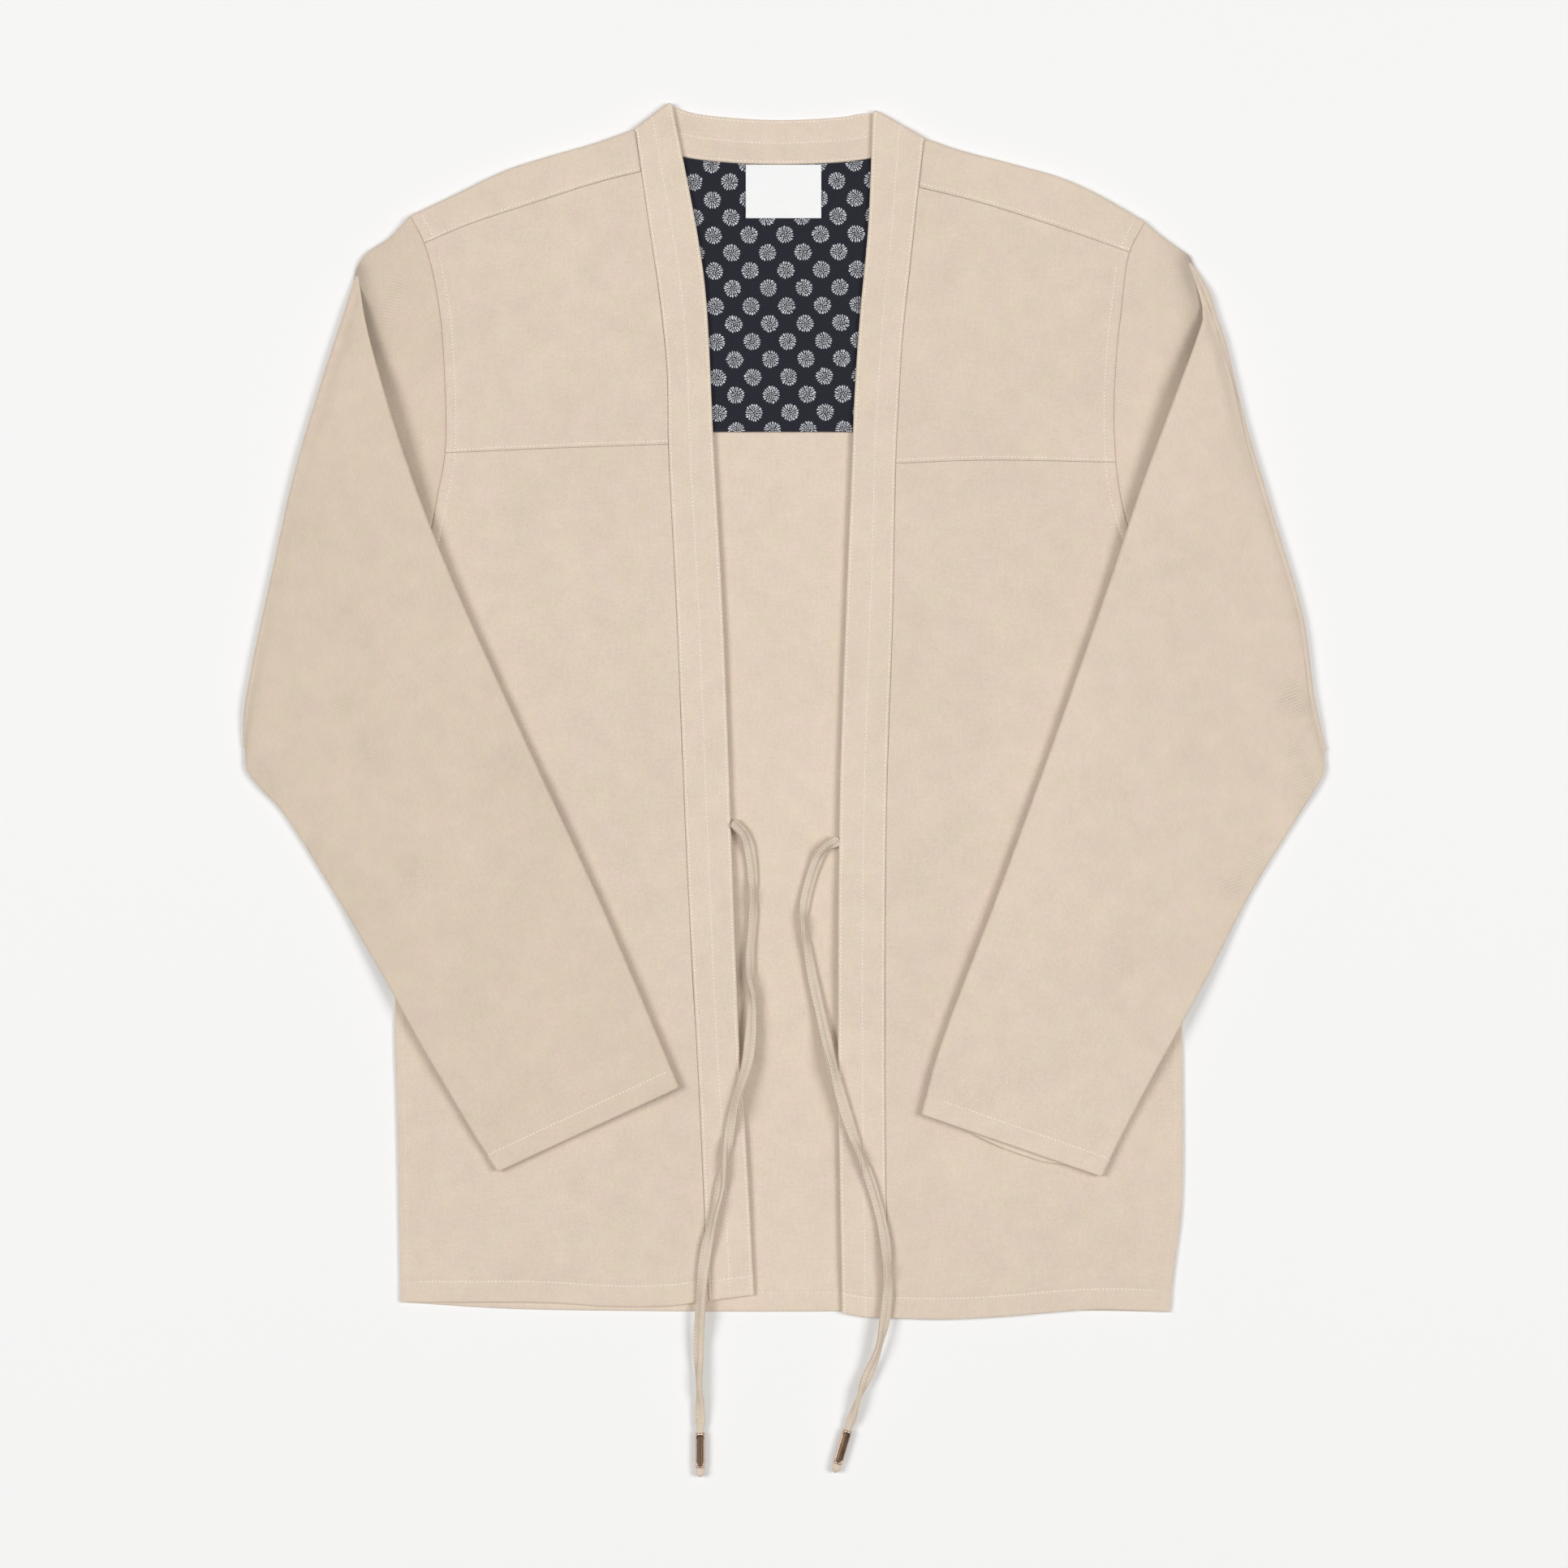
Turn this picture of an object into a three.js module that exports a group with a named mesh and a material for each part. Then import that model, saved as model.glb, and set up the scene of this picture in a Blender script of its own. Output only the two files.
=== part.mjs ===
// Noragi jacket, laid flat on its back with both sleeves folded over onto the fronts.
// Millimetres. +X is the wearer's left, +Y runs to the collar, +Z is up, z = 0 is the surface it lies on.
// Every piece is a wall of cloth: a centre surface in plan lines and heights, thickened both ways.
import * as THREE from 'three';

const CLOTH = 1.2;            // twill, one layer
const BAND = 2.4;             // collar band, two layers
const THIN = 1.0;             // lining and label
const SEAM = 0.45;            // space between two pieces at a seam
const NECK_GAP = 0.52;        // the same, from the yoke and its lining up to the neckband
const BACK_Z = CLOTH / 2;     // centre of a layer that lies on the surface
const FRONT_Z = 4.6;          // centre of the front layer away from its edges
const HEM_Z = 3.9;            // the same, at the hem
const SIDE_Z = 2.4;           // the same, at the side seam
const SIDE_EASE = 42;         // how far from the side seam the front reaches its height
const LINING_Z = 2.0;
const LABEL_Z = 3.3;
const YOKE_SEAM_Y = 179.1;    // back yoke seam, straight across
const HEM_START_Y = -310;     // the front starts to settle towards the hem here
const FOLD_OUT = 3.6;         // radius of the sleeve's outer layer round the fold
const FOLD_IN = 1.2;          // radius of its inner layer
const SLEEVE_HALF = 1.6;      // half the space between the layers of the folded sleeve
const SLEEVE_FRONT_Z = 3.0;   // front layer of the sleeve where it meets the fold
const SLEEVE_REST = 2.5;      // from the layer beneath up to the folded sleeve's lower layer
const DRAPE = 55;             // length over which the folded sleeve comes down beside the body
const STRAP = { half: 3.2, thick: 1.1, core: 1.95 };
const AGLET = { bore: 2.5, wall: 2.85, rim: 3.15, length: 22.5, lip: 1.9 };
const LABEL = { x0: -25, x1: 23.4, y0: 316, y1: 349.4 };

const COLOURS = { cloth: 0xdcccb9, lining: 0x2b2c34, label: 0xf8f9fd, aglet: 0x8a6c3f };

const table = (names, rows) => rows.map((r) => Object.fromEntries(names.map((n, i) => [n, r[i]])));
const xy = (rows) => table(['x', 'y'], rows);

// Plan lines of each half, columns x, y. Each starts at the shoulder or at the armhole.
const RIGHT = {
  sign: -1,
  shoulder: xy([[-240, 317.7], [-215.1, 329.5], [-178.6, 346.9], [-150.4, 356], [-120.6, 364.4],
    [-97.3, 371.8]]),
  armhole: xy([[-240, 317.7], [-230, 297.2], [-221.7, 260.8], [-218.1, 219.2], [-217.6, 166.1],
    [-223.4, 133.4], [-233, 86.6], [-242.8, 49.1]]),
  yokeSeam: xy([[-231.9, 299.8], [-203.8, 311.7], [-170.3, 322.9], [-120.6, 338.8], [-92.9, 346.1]]),
  chestSeam: xy([[-217.6, 165.6], [-147.2, 168.7], [-74.7, 171.3]]),
  sideSeam: xy([[-242.8, 49.1], [-247, -64.2], [-248.6, -189], [-248, -272.2], [-246.2, -378.8]]),
  frontHem: xy([[-246.2, -378.8], [-153.6, -378.8], [-112.3, -381.3], [-74, -380.9], [-49.1, -377.8]]),
  bandHem: xy([[-49.1, -377.8], [-35.9, -376], [-19.6, -374]]),
  bandSeam: xy([[-97.3, 371.8], [-87, 310.9], [-80.3, 266.1], [-75.4, 216.6], [-74.6, 171.7],
    [-69.2, 60.6], [-62.4, -104.3], [-54.6, -250.9], [-49.1, -377.8]]),
  bandEdge: xy([[-70.4, 388.9], [-55.5, 304.5], [-50.5, 266.1], [-45.6, 171.7], [-39.5, 60.6],
    [-33.3, -104.3], [-28.3, -231.1], [-25, -272.7], [-19.6, -374]]),
  fold: xy([[-275.1, 280], [-281.8, 258.2], [-295.4, 216.6], [-314.1, 154.2], [-328.1, 91.8],
    [-341.6, 29.4], [-346.8, -1.8], [-347.4, -23.7]]),
  overarm: xy([[-240, 317.7], [-252.2, 304.5], [-269.4, 292], [-275.1, 280]]),
  overarmFolded: xy([[-275.1, 280], [-267.8, 247.8], [-253.2, 195.8], [-236.1, 143.8], [-215.8, 91.8],
    [-169, -12.2], [-120.6, -116.2], [-75.9, -220.2], [-67.6, -240.5]]),
  underarm: xy([[-242.8, 49.1], [-347.4, -23.7]]),
  underarmFolded: xy([[-347.4, -23.7], [-345.2, -29.5], [-344.2, -38.2], [-336.4, -48.6], [-321.9, -64.2],
    [-287, -116.2], [-253.8, -168.2], [-227.2, -220.2], [-198.6, -272.2], [-185.1, -294.1]]),
};
const LEFT = {
  sign: 1,
  shoulder: xy([[230.9, 313.8], [222.5, 320.6], [202.1, 333.3], [178.4, 344.5], [144.6, 352.8],
    [110.8, 360.4], [90.5, 367.2]]),
  armhole: xy([[230.9, 313.8], [220.7, 293.5], [215.7, 258.2], [212.2, 224.4], [211, 180.2],
    [215.7, 134.6], [232.4, 86.6], [251.2, 44.5]]),
  yokeSeam: xy([[221.3, 294.1], [184.6, 307.1], [151.3, 318.1], [119.6, 327.6], [86.5, 335.9]]),
  chestSeam: xy([[212.3, 159.6], [127.7, 160.9], [71.2, 158.9]]),
  sideSeam: xy([[251.2, 44.5], [255.3, -64.2], [254.8, -199.4], [254.3, -317.5], [249.3, -358.9],
    [246.8, -385.1]]),
  frontHem: xy([[246.8, -385.1], [201.2, -383.3], [136.6, -387.9], [100, -389.6], [66, -388.7]]),
  bandHem: xy([[66, -388.7], [50.3, -387.9], [36.7, -385.4]]),
  bandSeam: xy([[90.5, 367.2], [81.3, 294.3], [75.4, 237.9], [73, 196.5], [71.3, 164.6],
    [69.2, 60.6], [65.4, -53.8], [64.3, -228.9], [66, -388.7]]),
  bandEdge: xy([[62.2, 383.9], [54, 310.9], [48.2, 254.5], [44.8, 204.8], [43.2, 164.6],
    [39, 60.6], [35.2, -53.8], [34.1, -220.2], [36.7, -385.4]]),
  fold: xy([[267.8, 267.5], [270.9, 258.2], [280.3, 237.4], [295.4, 185.4], [314.1, 123],
    [332.3, 60.6], [339.6, 8.6], [344.2, -12.2], [347.4, -25.2]]),
  overarm: xy([[230.9, 313.8], [247, 299.8], [258.4, 289.4], [267.8, 267.5]]),
  overarmFolded: xy([[267.8, 267.5], [264.7, 247.8], [247, 195.8], [227.8, 143.8], [210.6, 91.8],
    [174.2, -12.2], [136.2, -116.2], [97.2, -220.2], [87.4, -257.7]]),
  underarm: xy([[251.2, 44.5], [347.4, -25.2]]),
  underarmFolded: xy([[347.4, -25.2], [345.4, -31], [345.6, -38.2], [339.6, -50.2], [330.7, -64.2],
    [298.5, -116.2], [271.4, -168.2], [242.8, -220.2], [215.3, -272.2], [202.8, -297.7]]),
};
const NECK_SEAM = xy([[-86.8, 362.2], [-64.5, 355.4], [-34.8, 351.8], [-1.6, 350.7], [38, 352.3],
  [61.9, 355.9], [79.6, 361.1]]);
const NECK_TOP = xy([[-60.8, 381.9], [-34.8, 378.3], [-1.6, 376.7], [38, 379.3], [53.6, 381.4]]);
const BACK_HEM = xy([[-246.2, -380.4], [-178.4, -384.3], [-95.7, -385.4], [6.8, -385.4],
  [142, -383.5], [246.8, -384.5]]);

// Soft swells of the fronts: where, how long along the line at `turn` degrees from +Y, how wide.
const SWELLS = table(['x', 'y', 'turn', 'long', 'wide', 'rise'], [
  [-150, -330, 20, 70, 26, 0.5],
  [-96, 60, -8, 90, 20, 0.4],
  [-215, -250, 6, 80, 18, -0.4],
  [130, -320, -14, 80, 28, 0.5],
  [112, 40, 10, 100, 22, 0.4],
  [222, -230, -4, 90, 16, -0.4],
]);

// Straps: centre line with height z, from the band's inner edge to where the strap enters its aglet.
const STRAPS = {
  right: table(['x', 'y', 'z'], [[-31.6, -72.5, 4.2], [-26, -78.8, 3.6], [-21.8, -93.3, 2.8],
    [-20.3, -126.1, 2.75], [-22.4, -158.9, 3.2], [-21.1, -189.5, 5.6], [-23.9, -224.4, 8.3],
    [-31.7, -250.9, 8.3], [-38, -285.7, 8.0], [-43.7, -316.4, 7.8], [-51, -349.2, 7.3],
    [-53.6, -377.3, 6.9], [-55.1, -403.3, 5.6], [-55.1, -420, 4.2], [-54.4, -444.9, 3.25]]),
  left: table(['x', 'y', 'z'], [[32.6, -83.5, 4.2], [27.2, -86.6, 3.6], [21.8, -93.3, 2.8],
    [12.2, -128.2, 2.75], [15.6, -158.9, 2.9], [22.9, -193.7, 4.6], [31.7, -231.1, 7.9],
    [42.6, -268.1, 8.0], [54.9, -301.3, 7.8], [63.4, -334.1, 7.6], [65.8, -364.8, 7.2],
    [64, -388.6, 6.9], [58.8, -411.1, 5.6], [48.9, -435.5, 4.0]]),
};
const AGLET_AXIS = {
  right: { from: [-54.2, -462.2, 3.2], to: [-54.2, -484.7, 3.2] },
  left: { from: [40.3, -460.6, 3.2], to: [33.8, -482.1, 3.2] },
};
const TAIL = 6;               // strap that stands out beyond the aglet

const mix = (a, b, t) => a + (b - a) * t;
const clamp = (t) => Math.min(1, Math.max(0, t));
const ease = (t) => { const c = clamp(t); return c * c * (3 - 2 * c); };
const steps = (n) => Array.from({ length: n + 1 }, (_, i) => i / n);
const last = (list) => list[list.length - 1];

// A smooth plan line; at(f) is the point at share f of its length.
function line(points) {
  const curve = new THREE.CatmullRomCurve3(
    points.map((p) => new THREE.Vector3(p.x, p.y, p.z ?? 0)), false, 'centripetal');
  curve.arcLengthDivisions = 600;
  return { length: curve.getLength(), at: (f) => curve.getPointAt(clamp(f)) };
}
const straight = (p, q) => ({
  length: Math.hypot(q.x - p.x, q.y - p.y),
  at: (f) => new THREE.Vector3(mix(p.x, q.x, f), mix(p.y, q.y, f), 0),
});
const stretch = (l, f0, f1) => ({ length: l.length * Math.abs(f1 - f0), at: (f) => l.at(mix(f0, f1, f)) });
function chain(p, q) {
  const share = p.length / (p.length + q.length);
  return {
    length: p.length + q.length, share,
    at: (f) => (f < share ? p.at(f / share) : q.at((f - share) / (1 - share))),
  };
}
function shareAtY(l, y) {
  let [lo, hi] = [0, 1];
  for (let i = 0; i < 40; i++) {
    const mid = (lo + hi) / 2;
    if (l.at(mid).y > y) lo = mid; else hi = mid;
  }
  return (lo + hi) / 2;
}
const heading = (l, f, df = 0.01) => l.at(f).sub(l.at(f + df)).normalize();   // back along the line

// A surface in plan between four lines: u from side a to side b, v from the top line to the bottom one.
function span({ top, bottom, a, b }) {
  const corners = [top.at(0), top.at(1), bottom.at(0), bottom.at(1)];
  return (u, v) => {
    const weights = [(1 - u) * (1 - v), u * (1 - v), (1 - u) * v, u * v];
    const p = new THREE.Vector3()
      .addScaledVector(top.at(u), 1 - v).addScaledVector(bottom.at(u), v)
      .addScaledVector(a.at(v), 1 - u).addScaledVector(b.at(v), u);
    corners.forEach((c, i) => p.addScaledVector(c, -weights[i]));
    return p;
  };
}

// Shortest way from a point to a chain of plan points.
function reach(points, x, y) {
  let best = Infinity;
  for (let i = 1; i < points.length; i++) {
    const [p, q] = [points[i - 1], points[i]];
    const [dx, dy] = [q.x - p.x, q.y - p.y];
    const t = clamp(((x - p.x) * dx + (y - p.y) * dy) / (dx * dx + dy * dy));
    best = Math.min(best, Math.hypot(x - p.x - t * dx, y - p.y - t * dy));
  }
  return best;
}

// Heights of the front layer and of the band.
const settle = (y) => mix(FRONT_Z, HEM_Z, ease((HEM_START_Y - y) / 65));
const swell = (x, y) => SWELLS.reduce((sum, s) => {
  const turn = THREE.MathUtils.degToRad(s.turn);
  const [dx, dy] = [x - s.x, y - s.y];
  const along = (dy * Math.cos(turn) - dx * Math.sin(turn)) / s.long;
  const across = (dx * Math.cos(turn) + dy * Math.sin(turn)) / s.wide;
  return sum + s.rise * Math.exp(-along * along - across * across);
}, 0);
function frontHeight(half, x, y) {
  const raised = ease(reach(half.sideSeam, x, y) / SIDE_EASE);
  return mix(SIDE_Z, settle(y) + swell(x, y), raised);
}
const bandLift = (y, u) => 1.2 * u * Math.exp(-(((y + 145) / 48) ** 2));

// A centre surface made of grids that share their points, and its two-sided wall.
class Sheet {
  constructor() { this.points = []; this.faces = []; this.seen = new Map(); }

  id(p) {
    const key = [p.x, p.y, p.z].map((c) => Math.round(c * 500)).join();
    if (!this.seen.has(key)) { this.seen.set(key, this.points.length); this.points.push(p.clone()); }
    return this.seen.get(key);
  }

  grid(rows, closed = false) {
    for (let j = 1; j < rows.length; j++) {
      const n = rows[j].length;
      for (let i = closed ? 0 : 1; i < n; i++) {
        const k = (i + n - 1) % n;
        const [a, b, c, d] = [rows[j - 1][k], rows[j - 1][i], rows[j][i], rows[j][k]].map((p) => this.id(p));
        this.faces.push([a, b, c], [a, c, d]);
      }
    }
    return this;
  }

  wall(thickness) {
    const n = this.points.length;
    const normals = this.points.map(() => new THREE.Vector3());
    const [e1, e2] = [new THREE.Vector3(), new THREE.Vector3()];
    this.faces = this.faces.filter((f) => new Set(f).size === 3);
    for (const f of this.faces) {
      const [a, b, c] = f.map((i) => this.points[i]);
      const cross = e1.subVectors(b, a).cross(e2.subVectors(c, a));
      f.forEach((i) => normals[i].add(cross));
    }
    normals.forEach((v) => v.normalize());
    const position = [1, -1].flatMap((s) => this.points.flatMap((p, i) =>
      p.clone().addScaledVector(normals[i], s * thickness / 2).toArray()));
    const edges = new Set(this.faces.flatMap(([a, b, c]) => [`${a},${b}`, `${b},${c}`, `${c},${a}`]));
    const index = this.faces.flatMap(([a, b, c]) => [a, b, c, a + n, c + n, b + n]);
    for (const edge of edges) {
      const [a, b] = edge.split(',').map(Number);
      if (!edges.has(`${b},${a}`)) index.push(b, a, a + n, b, a + n, b + n);
    }
    const g = new THREE.BufferGeometry();
    g.setAttribute('position', new THREE.Float32BufferAttribute(position, 3));
    g.setIndex(index);
    return g;
  }
}

// Rows of a piece: `place(u, v)` in plan, `height(x, y, u, v)` above the surface. The rows run
// with growing x on both halves, so every wall faces the same way.
function rows(place, height, us, vs, inset = { u0: 0, u1: 0, v0: 0, v1: 0 }) {
  return vs.map((v0) => us.map((u0) => {
    const u = mix(inset.u0, 1 - inset.u1, u0);
    const v = mix(inset.v0, 1 - inset.v1, v0);
    const p = place(u, v);
    p.z = height(p.x, p.y, u, v);
    return p;
  }));
}
const ordered = (half, list) => (half.sign > 0 ? list.map((r) => [...r].reverse()) : list);
const insetOf = (width, height, gap = SEAM / 2) => (
  { u0: gap / width, u1: gap / width, v0: gap / height, v1: gap / height });

const root = new THREE.Group();
root.name = 'noragi_jacket';
function add(name, geometry, slot) {
  const metal = slot === 'aglet';
  const material = new THREE.MeshStandardMaterial(
    { color: COLOURS[slot], roughness: metal ? 0.4 : 0.95, metalness: metal ? 1 : 0 });
  const mesh = new THREE.Mesh(geometry, material);
  mesh.name = name;
  root.add(mesh);
}

const EDGE_US = [0, 0.035, 0.08, 0.14, 0.22, 0.34, 0.48, 0.64, 0.82, 1];
const NECK_US = steps(16);
const ARMPIT_ROOM = 1.0;      // from the end of the sleeve's flat layers to its turn at the armpit

// Shoulder: where each half turns over, as a line set in by the turn's radius, with its heading.
const TURN = (FRONT_Z - BACK_Z) / 2;

// Armhole of a half with the shares of its length at which every piece along it has a point, so
// that neighbours keep the same chords: shoulder, forward seam, back yoke seam, chest seam, armpit.
function armholeOf(half) {
  const arm = line(half.armhole);
  const start = (TURN + CLOTH / 2) / arm.length;
  const forward = shareAtY(arm, half.yokeSeam[0].y);
  const yokeEnd = shareAtY(arm, YOKE_SEAM_Y);
  const chestEnd = shareAtY(arm, half.chestSeam[0].y);
  const end = 1 - ((SIDE_Z - BACK_Z) / 2 + CLOTH / 2 + ARMPIT_ROOM) / arm.length;
  const between = (a, b, n) => steps(n).slice(1, -1).map((t) => mix(a, b, t));
  const marks = [start, forward, ...between(forward, yokeEnd, 4), yokeEnd, chestEnd,
    ...between(chestEnd, end, 4), end];
  return { arm, marks, start, forward, yokeEnd, chestEnd, end };
}
const marksIn = (marks, a, b) => marks.filter((f) => f >= a - 1e-6 && f <= b + 1e-6)
  .map((f) => (f - a) / (b - a));
// The same line, read so that its shares `from` come where another line has its shares `to`.
const keyed = (l, from, to) => ({
  length: l.length,
  at: (v) => {
    const i = Math.max(1, to.findIndex((t) => t >= v - 1e-9));
    return l.at(mix(from[i - 1], from[i], (v - to[i - 1]) / (to[i] - to[i - 1])));
  },
});
function shoulderOf(half) {
  const [top, arm, band] = [line(half.shoulder), line(half.armhole), line(half.bandSeam)];
  const [out0, out1] = [heading(arm, 0), collarFold(half).out];
  const out = (f) => new THREE.Vector3().lerpVectors(out0, out1, f).normalize();
  const set = (f) => top.at(f).addScaledVector(out(f), -(TURN + CLOTH / 2));
  const armShare = (TURN + CLOTH / 2) / arm.length;
  return { out, arm, band, armShare, line: { length: top.length, at: set } };
}

// Back part of a half above the yoke seam, armhole to neck, for the yoke and for the lining.
function upperBack(half, sh) {
  const corner = sh.line.at(1);
  const seamShare = shareAtY(sh.arm, YOKE_SEAM_Y);
  return span({
    top: sh.line,
    bottom: straight(sh.arm.at(seamShare), { x: corner.x, y: YOKE_SEAM_Y }),
    a: stretch(sh.arm, sh.armShare, seamShare),
    b: straight(corner, { x: corner.x, y: YOKE_SEAM_Y }),
  });
}

function joinedBack(sheet, partRows, vs, height) {
  const [right, left] = partRows;
  const upper = (list) => list.slice(0, vs.length);
  const [colR, colL] = [upper(right).map(last), upper(left).map((r) => r[0])];
  const neck = line([colR[0], ...NECK_SEAM.map((p) => ({ x: p.x, y: p.y - NECK_GAP })), colL[0]]
    .map((p) => ({ x: p.x, y: p.y })));
  const place = span({
    top: neck, bottom: straight(last(colR), last(colL)),
    a: straight(colR[0], last(colR)), b: straight(colL[0], last(colL)),
  });
  sheet.grid(vs.map((v, j) => NECK_US.map((u) => {
    if (u === 0) return colR[j];
    if (u === 1) return colL[j];
    const p = place(u, v);
    p.z = height;
    return p;
  })));
}

function yoke() {
  const sheet = new Sheet();
  const us = steps(8);
  const rowsOf = (half) => {
    const { marks, start, yokeEnd } = armholeOf(half);
    return marksIn(marks, start, yokeEnd);
  };
  const wings = [RIGHT, LEFT].map((half) => {
    const vs = rowsOf(half);
    const sh = shoulderOf(half);
    const back = upperBack(half, sh);
    const seam = line(half.yokeSeam);
    const front = span({
      top: sh.line, bottom: seam,
      a: stretch(sh.arm, sh.armShare, shareAtY(sh.arm, seam.at(0).y)),
      b: straight(sh.line.at(1), seam.at(1)),
    });
    const inset = { u0: SEAM * 0.6 / 145, u1: 0.7 / 145, v0: 0, v1: SEAM / 2 / 190 };
    const lower = rows(back, () => BACK_Z, us, vs, inset);
    const arcs = steps(6).slice(1, -1).map((t) => lower[0].map((p, i) => {
      const turn = Math.PI * t;
      const q = p.clone().addScaledVector(sh.out(mix(inset.u0, 1 - inset.u1, us[i])), TURN * Math.sin(turn));
      q.z = BACK_Z + TURN * (1 - Math.cos(turn));
      return q;
    }));
    const upper = rows(front, () => FRONT_Z, us, steps(2), { ...inset, v1: SEAM / 2 / 26 });
    const all = ordered(half, [...lower.slice().reverse(), ...arcs, ...upper]);
    sheet.grid(all);
    return all.slice(0, vs.length).reverse();
  });
  // The wings' rows run up from the yoke seam; the middle is laid the same way round.
  const middle = new Sheet();
  joinedBack(middle, wings, rowsOf(RIGHT), BACK_Z);
  const flip = middle.faces.map(([a, b, c]) => [a, c, b]);
  flip.forEach((f) => sheet.faces.push(f.map((i) => sheet.id(middle.points[i]))));
  return sheet.wall(CLOTH);
}

function lining() {
  const sheet = new Sheet();
  const vs = [0, 0.12, 0.3, 0.5, 0.75, 1];
  const wings = [RIGHT, LEFT].map((half) => {
    const back = upperBack(half, shoulderOf(half));
    const inset = { u0: 3 / 145, u1: 0.7 / 145, v0: 0.8 / 190, v1: 0.2 / 190 };
    const all = ordered(half, rows(back, () => LINING_Z, steps(6), vs, inset));
    sheet.grid(all);
    return all;
  });
  joinedBack(sheet, wings, vs, LINING_Z);
  return sheet.wall(THIN);
}

// The edge of a panel from a share of the armhole down the side seam, with its rows.
function sideEdge(half, from, below) {
  const { arm, marks } = armholeOf(half);
  const edge = chain(stretch(arm, from, 1), line(half.sideSeam));
  const vs = [...marksIn(marks, from, 1), 1].map((v) => v * edge.share);
  return { edge, vs: [...vs, ...steps(below).slice(1).map((t) => mix(edge.share, 1, t))] };
}

function back() {
  const [right, left] = [RIGHT, LEFT].map((half) => sideEdge(half, armholeOf(half).yokeEnd, 7));
  const a = right.edge;
  const b = keyed(left.edge, left.vs, right.vs);
  const place = span({ top: straight(a.at(0), b.at(0)), bottom: line(BACK_HEM), a, b });
  const grid = rows(place, () => BACK_Z, steps(12), right.vs, insetOf(430, 560));
  return new Sheet().grid(grid).wall(CLOTH);
}

function chest(half) {
  const { arm, marks, forward, chestEnd } = armholeOf(half);
  const [band, top, bottom] = [half.bandSeam, half.yokeSeam, half.chestSeam].map(line);
  const place = span({
    top, bottom, a: stretch(arm, forward, chestEnd),
    b: stretch(band, shareAtY(band, top.at(1).y), shareAtY(band, bottom.at(1).y)),
  });
  const grid = rows(place, (x, y) => frontHeight(half, x, y), steps(8), marksIn(marks, forward, chestEnd),
    insetOf(142, 160));
  return new Sheet().grid(ordered(half, grid)).wall(CLOTH);
}

function front(half) {
  const [band, top, bottom] = [half.bandSeam, half.chestSeam, half.frontHem].map(line);
  const { edge, vs } = sideEdge(half, armholeOf(half).chestEnd, 14);
  const place = span({ top, bottom, a: edge, b: stretch(band, shareAtY(band, top.at(1).y), 1) });
  const grid = rows(place, (x, y) => frontHeight(half, x, y), EDGE_US, vs, insetOf(165, 545));
  return new Sheet().grid(ordered(half, grid)).wall(CLOTH);
}

// The band is folded over at each shoulder round a line set in from the corner by its turn.
const BAND_TURN = (FRONT_Z - BAND / 2) / 2;
const BAND_LAP = 3;           // the neck run goes this far past the turn before a front run starts
function collarFold(half) {
  const [outer, inner] = [half.bandSeam[0], half.bandEdge[0]].map((p) => new THREE.Vector3(p.x, p.y, 0));
  const along = inner.clone().sub(outer).normalize();
  const out = new THREE.Vector3(-along.y, along.x, 0);
  if (out.y < 0) out.negate();
  const set = BAND_TURN + BAND / 2;
  return { out, outer: outer.addScaledVector(out, -set), inner: inner.addScaledVector(out, -set) };
}

function collarRun(half) {
  const fold = collarFold(half);
  const [seam, edge] = [half.bandSeam, half.bandEdge];
  const place = span({
    top: straight(fold.outer, fold.inner), bottom: line(half.bandHem),
    a: line([fold.outer, ...seam.slice(1)]), b: line([fold.inner, ...edge.slice(1)]),
  });
  const inset = { u0: SEAM / 2 / 31, u1: 0, v0: (BAND_LAP / 0.9 + SEAM) / 760, v1: 0 };
  const grid = rows(place, (x, y, u) => settle(y) + bandLift(y, u), steps(3), steps(34), inset);
  return new Sheet().grid(ordered(half, grid)).wall(BAND);
}

function collarNeck() {
  const [right, left] = [RIGHT, LEFT].map(collarFold);
  const place = span({
    top: line([right.inner, ...NECK_TOP, left.inner]), bottom: line([right.outer, ...NECK_SEAM, left.outer]),
    a: straight(right.inner, right.outer), b: straight(left.inner, left.outer),
  });
  const vs = [0, 0.35, 0.7, 1];
  const flat = rows(place, () => BAND / 2, NECK_US, vs, { u0: 0, u1: 0, v0: 0, v1: 0 });
  const turned = flat.map((row) => {
    const over = (p, out) => {
      const turn = steps(6).slice(1).map((t) => {
        const q = p.clone().addScaledVector(out, BAND_TURN * Math.sin(Math.PI * t));
        q.z = BAND / 2 + BAND_TURN * (1 - Math.cos(Math.PI * t));
        return q;
      });
      return [...turn, last(turn).clone().addScaledVector(out, -BAND_LAP)];
    };
    return [...over(row[0], right.out).reverse(), ...row, ...over(last(row), left.out)];
  });
  return new Sheet().grid(turned).wall(BAND);
}

function label() {
  const { x0, x1, y0, y1 } = LABEL;
  const grid = [y1, y0].map((y) => [x0, x1].map((x) => new THREE.Vector3(x, y, LABEL_Z)));
  return new Sheet().grid(grid).wall(THIN);
}

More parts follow.
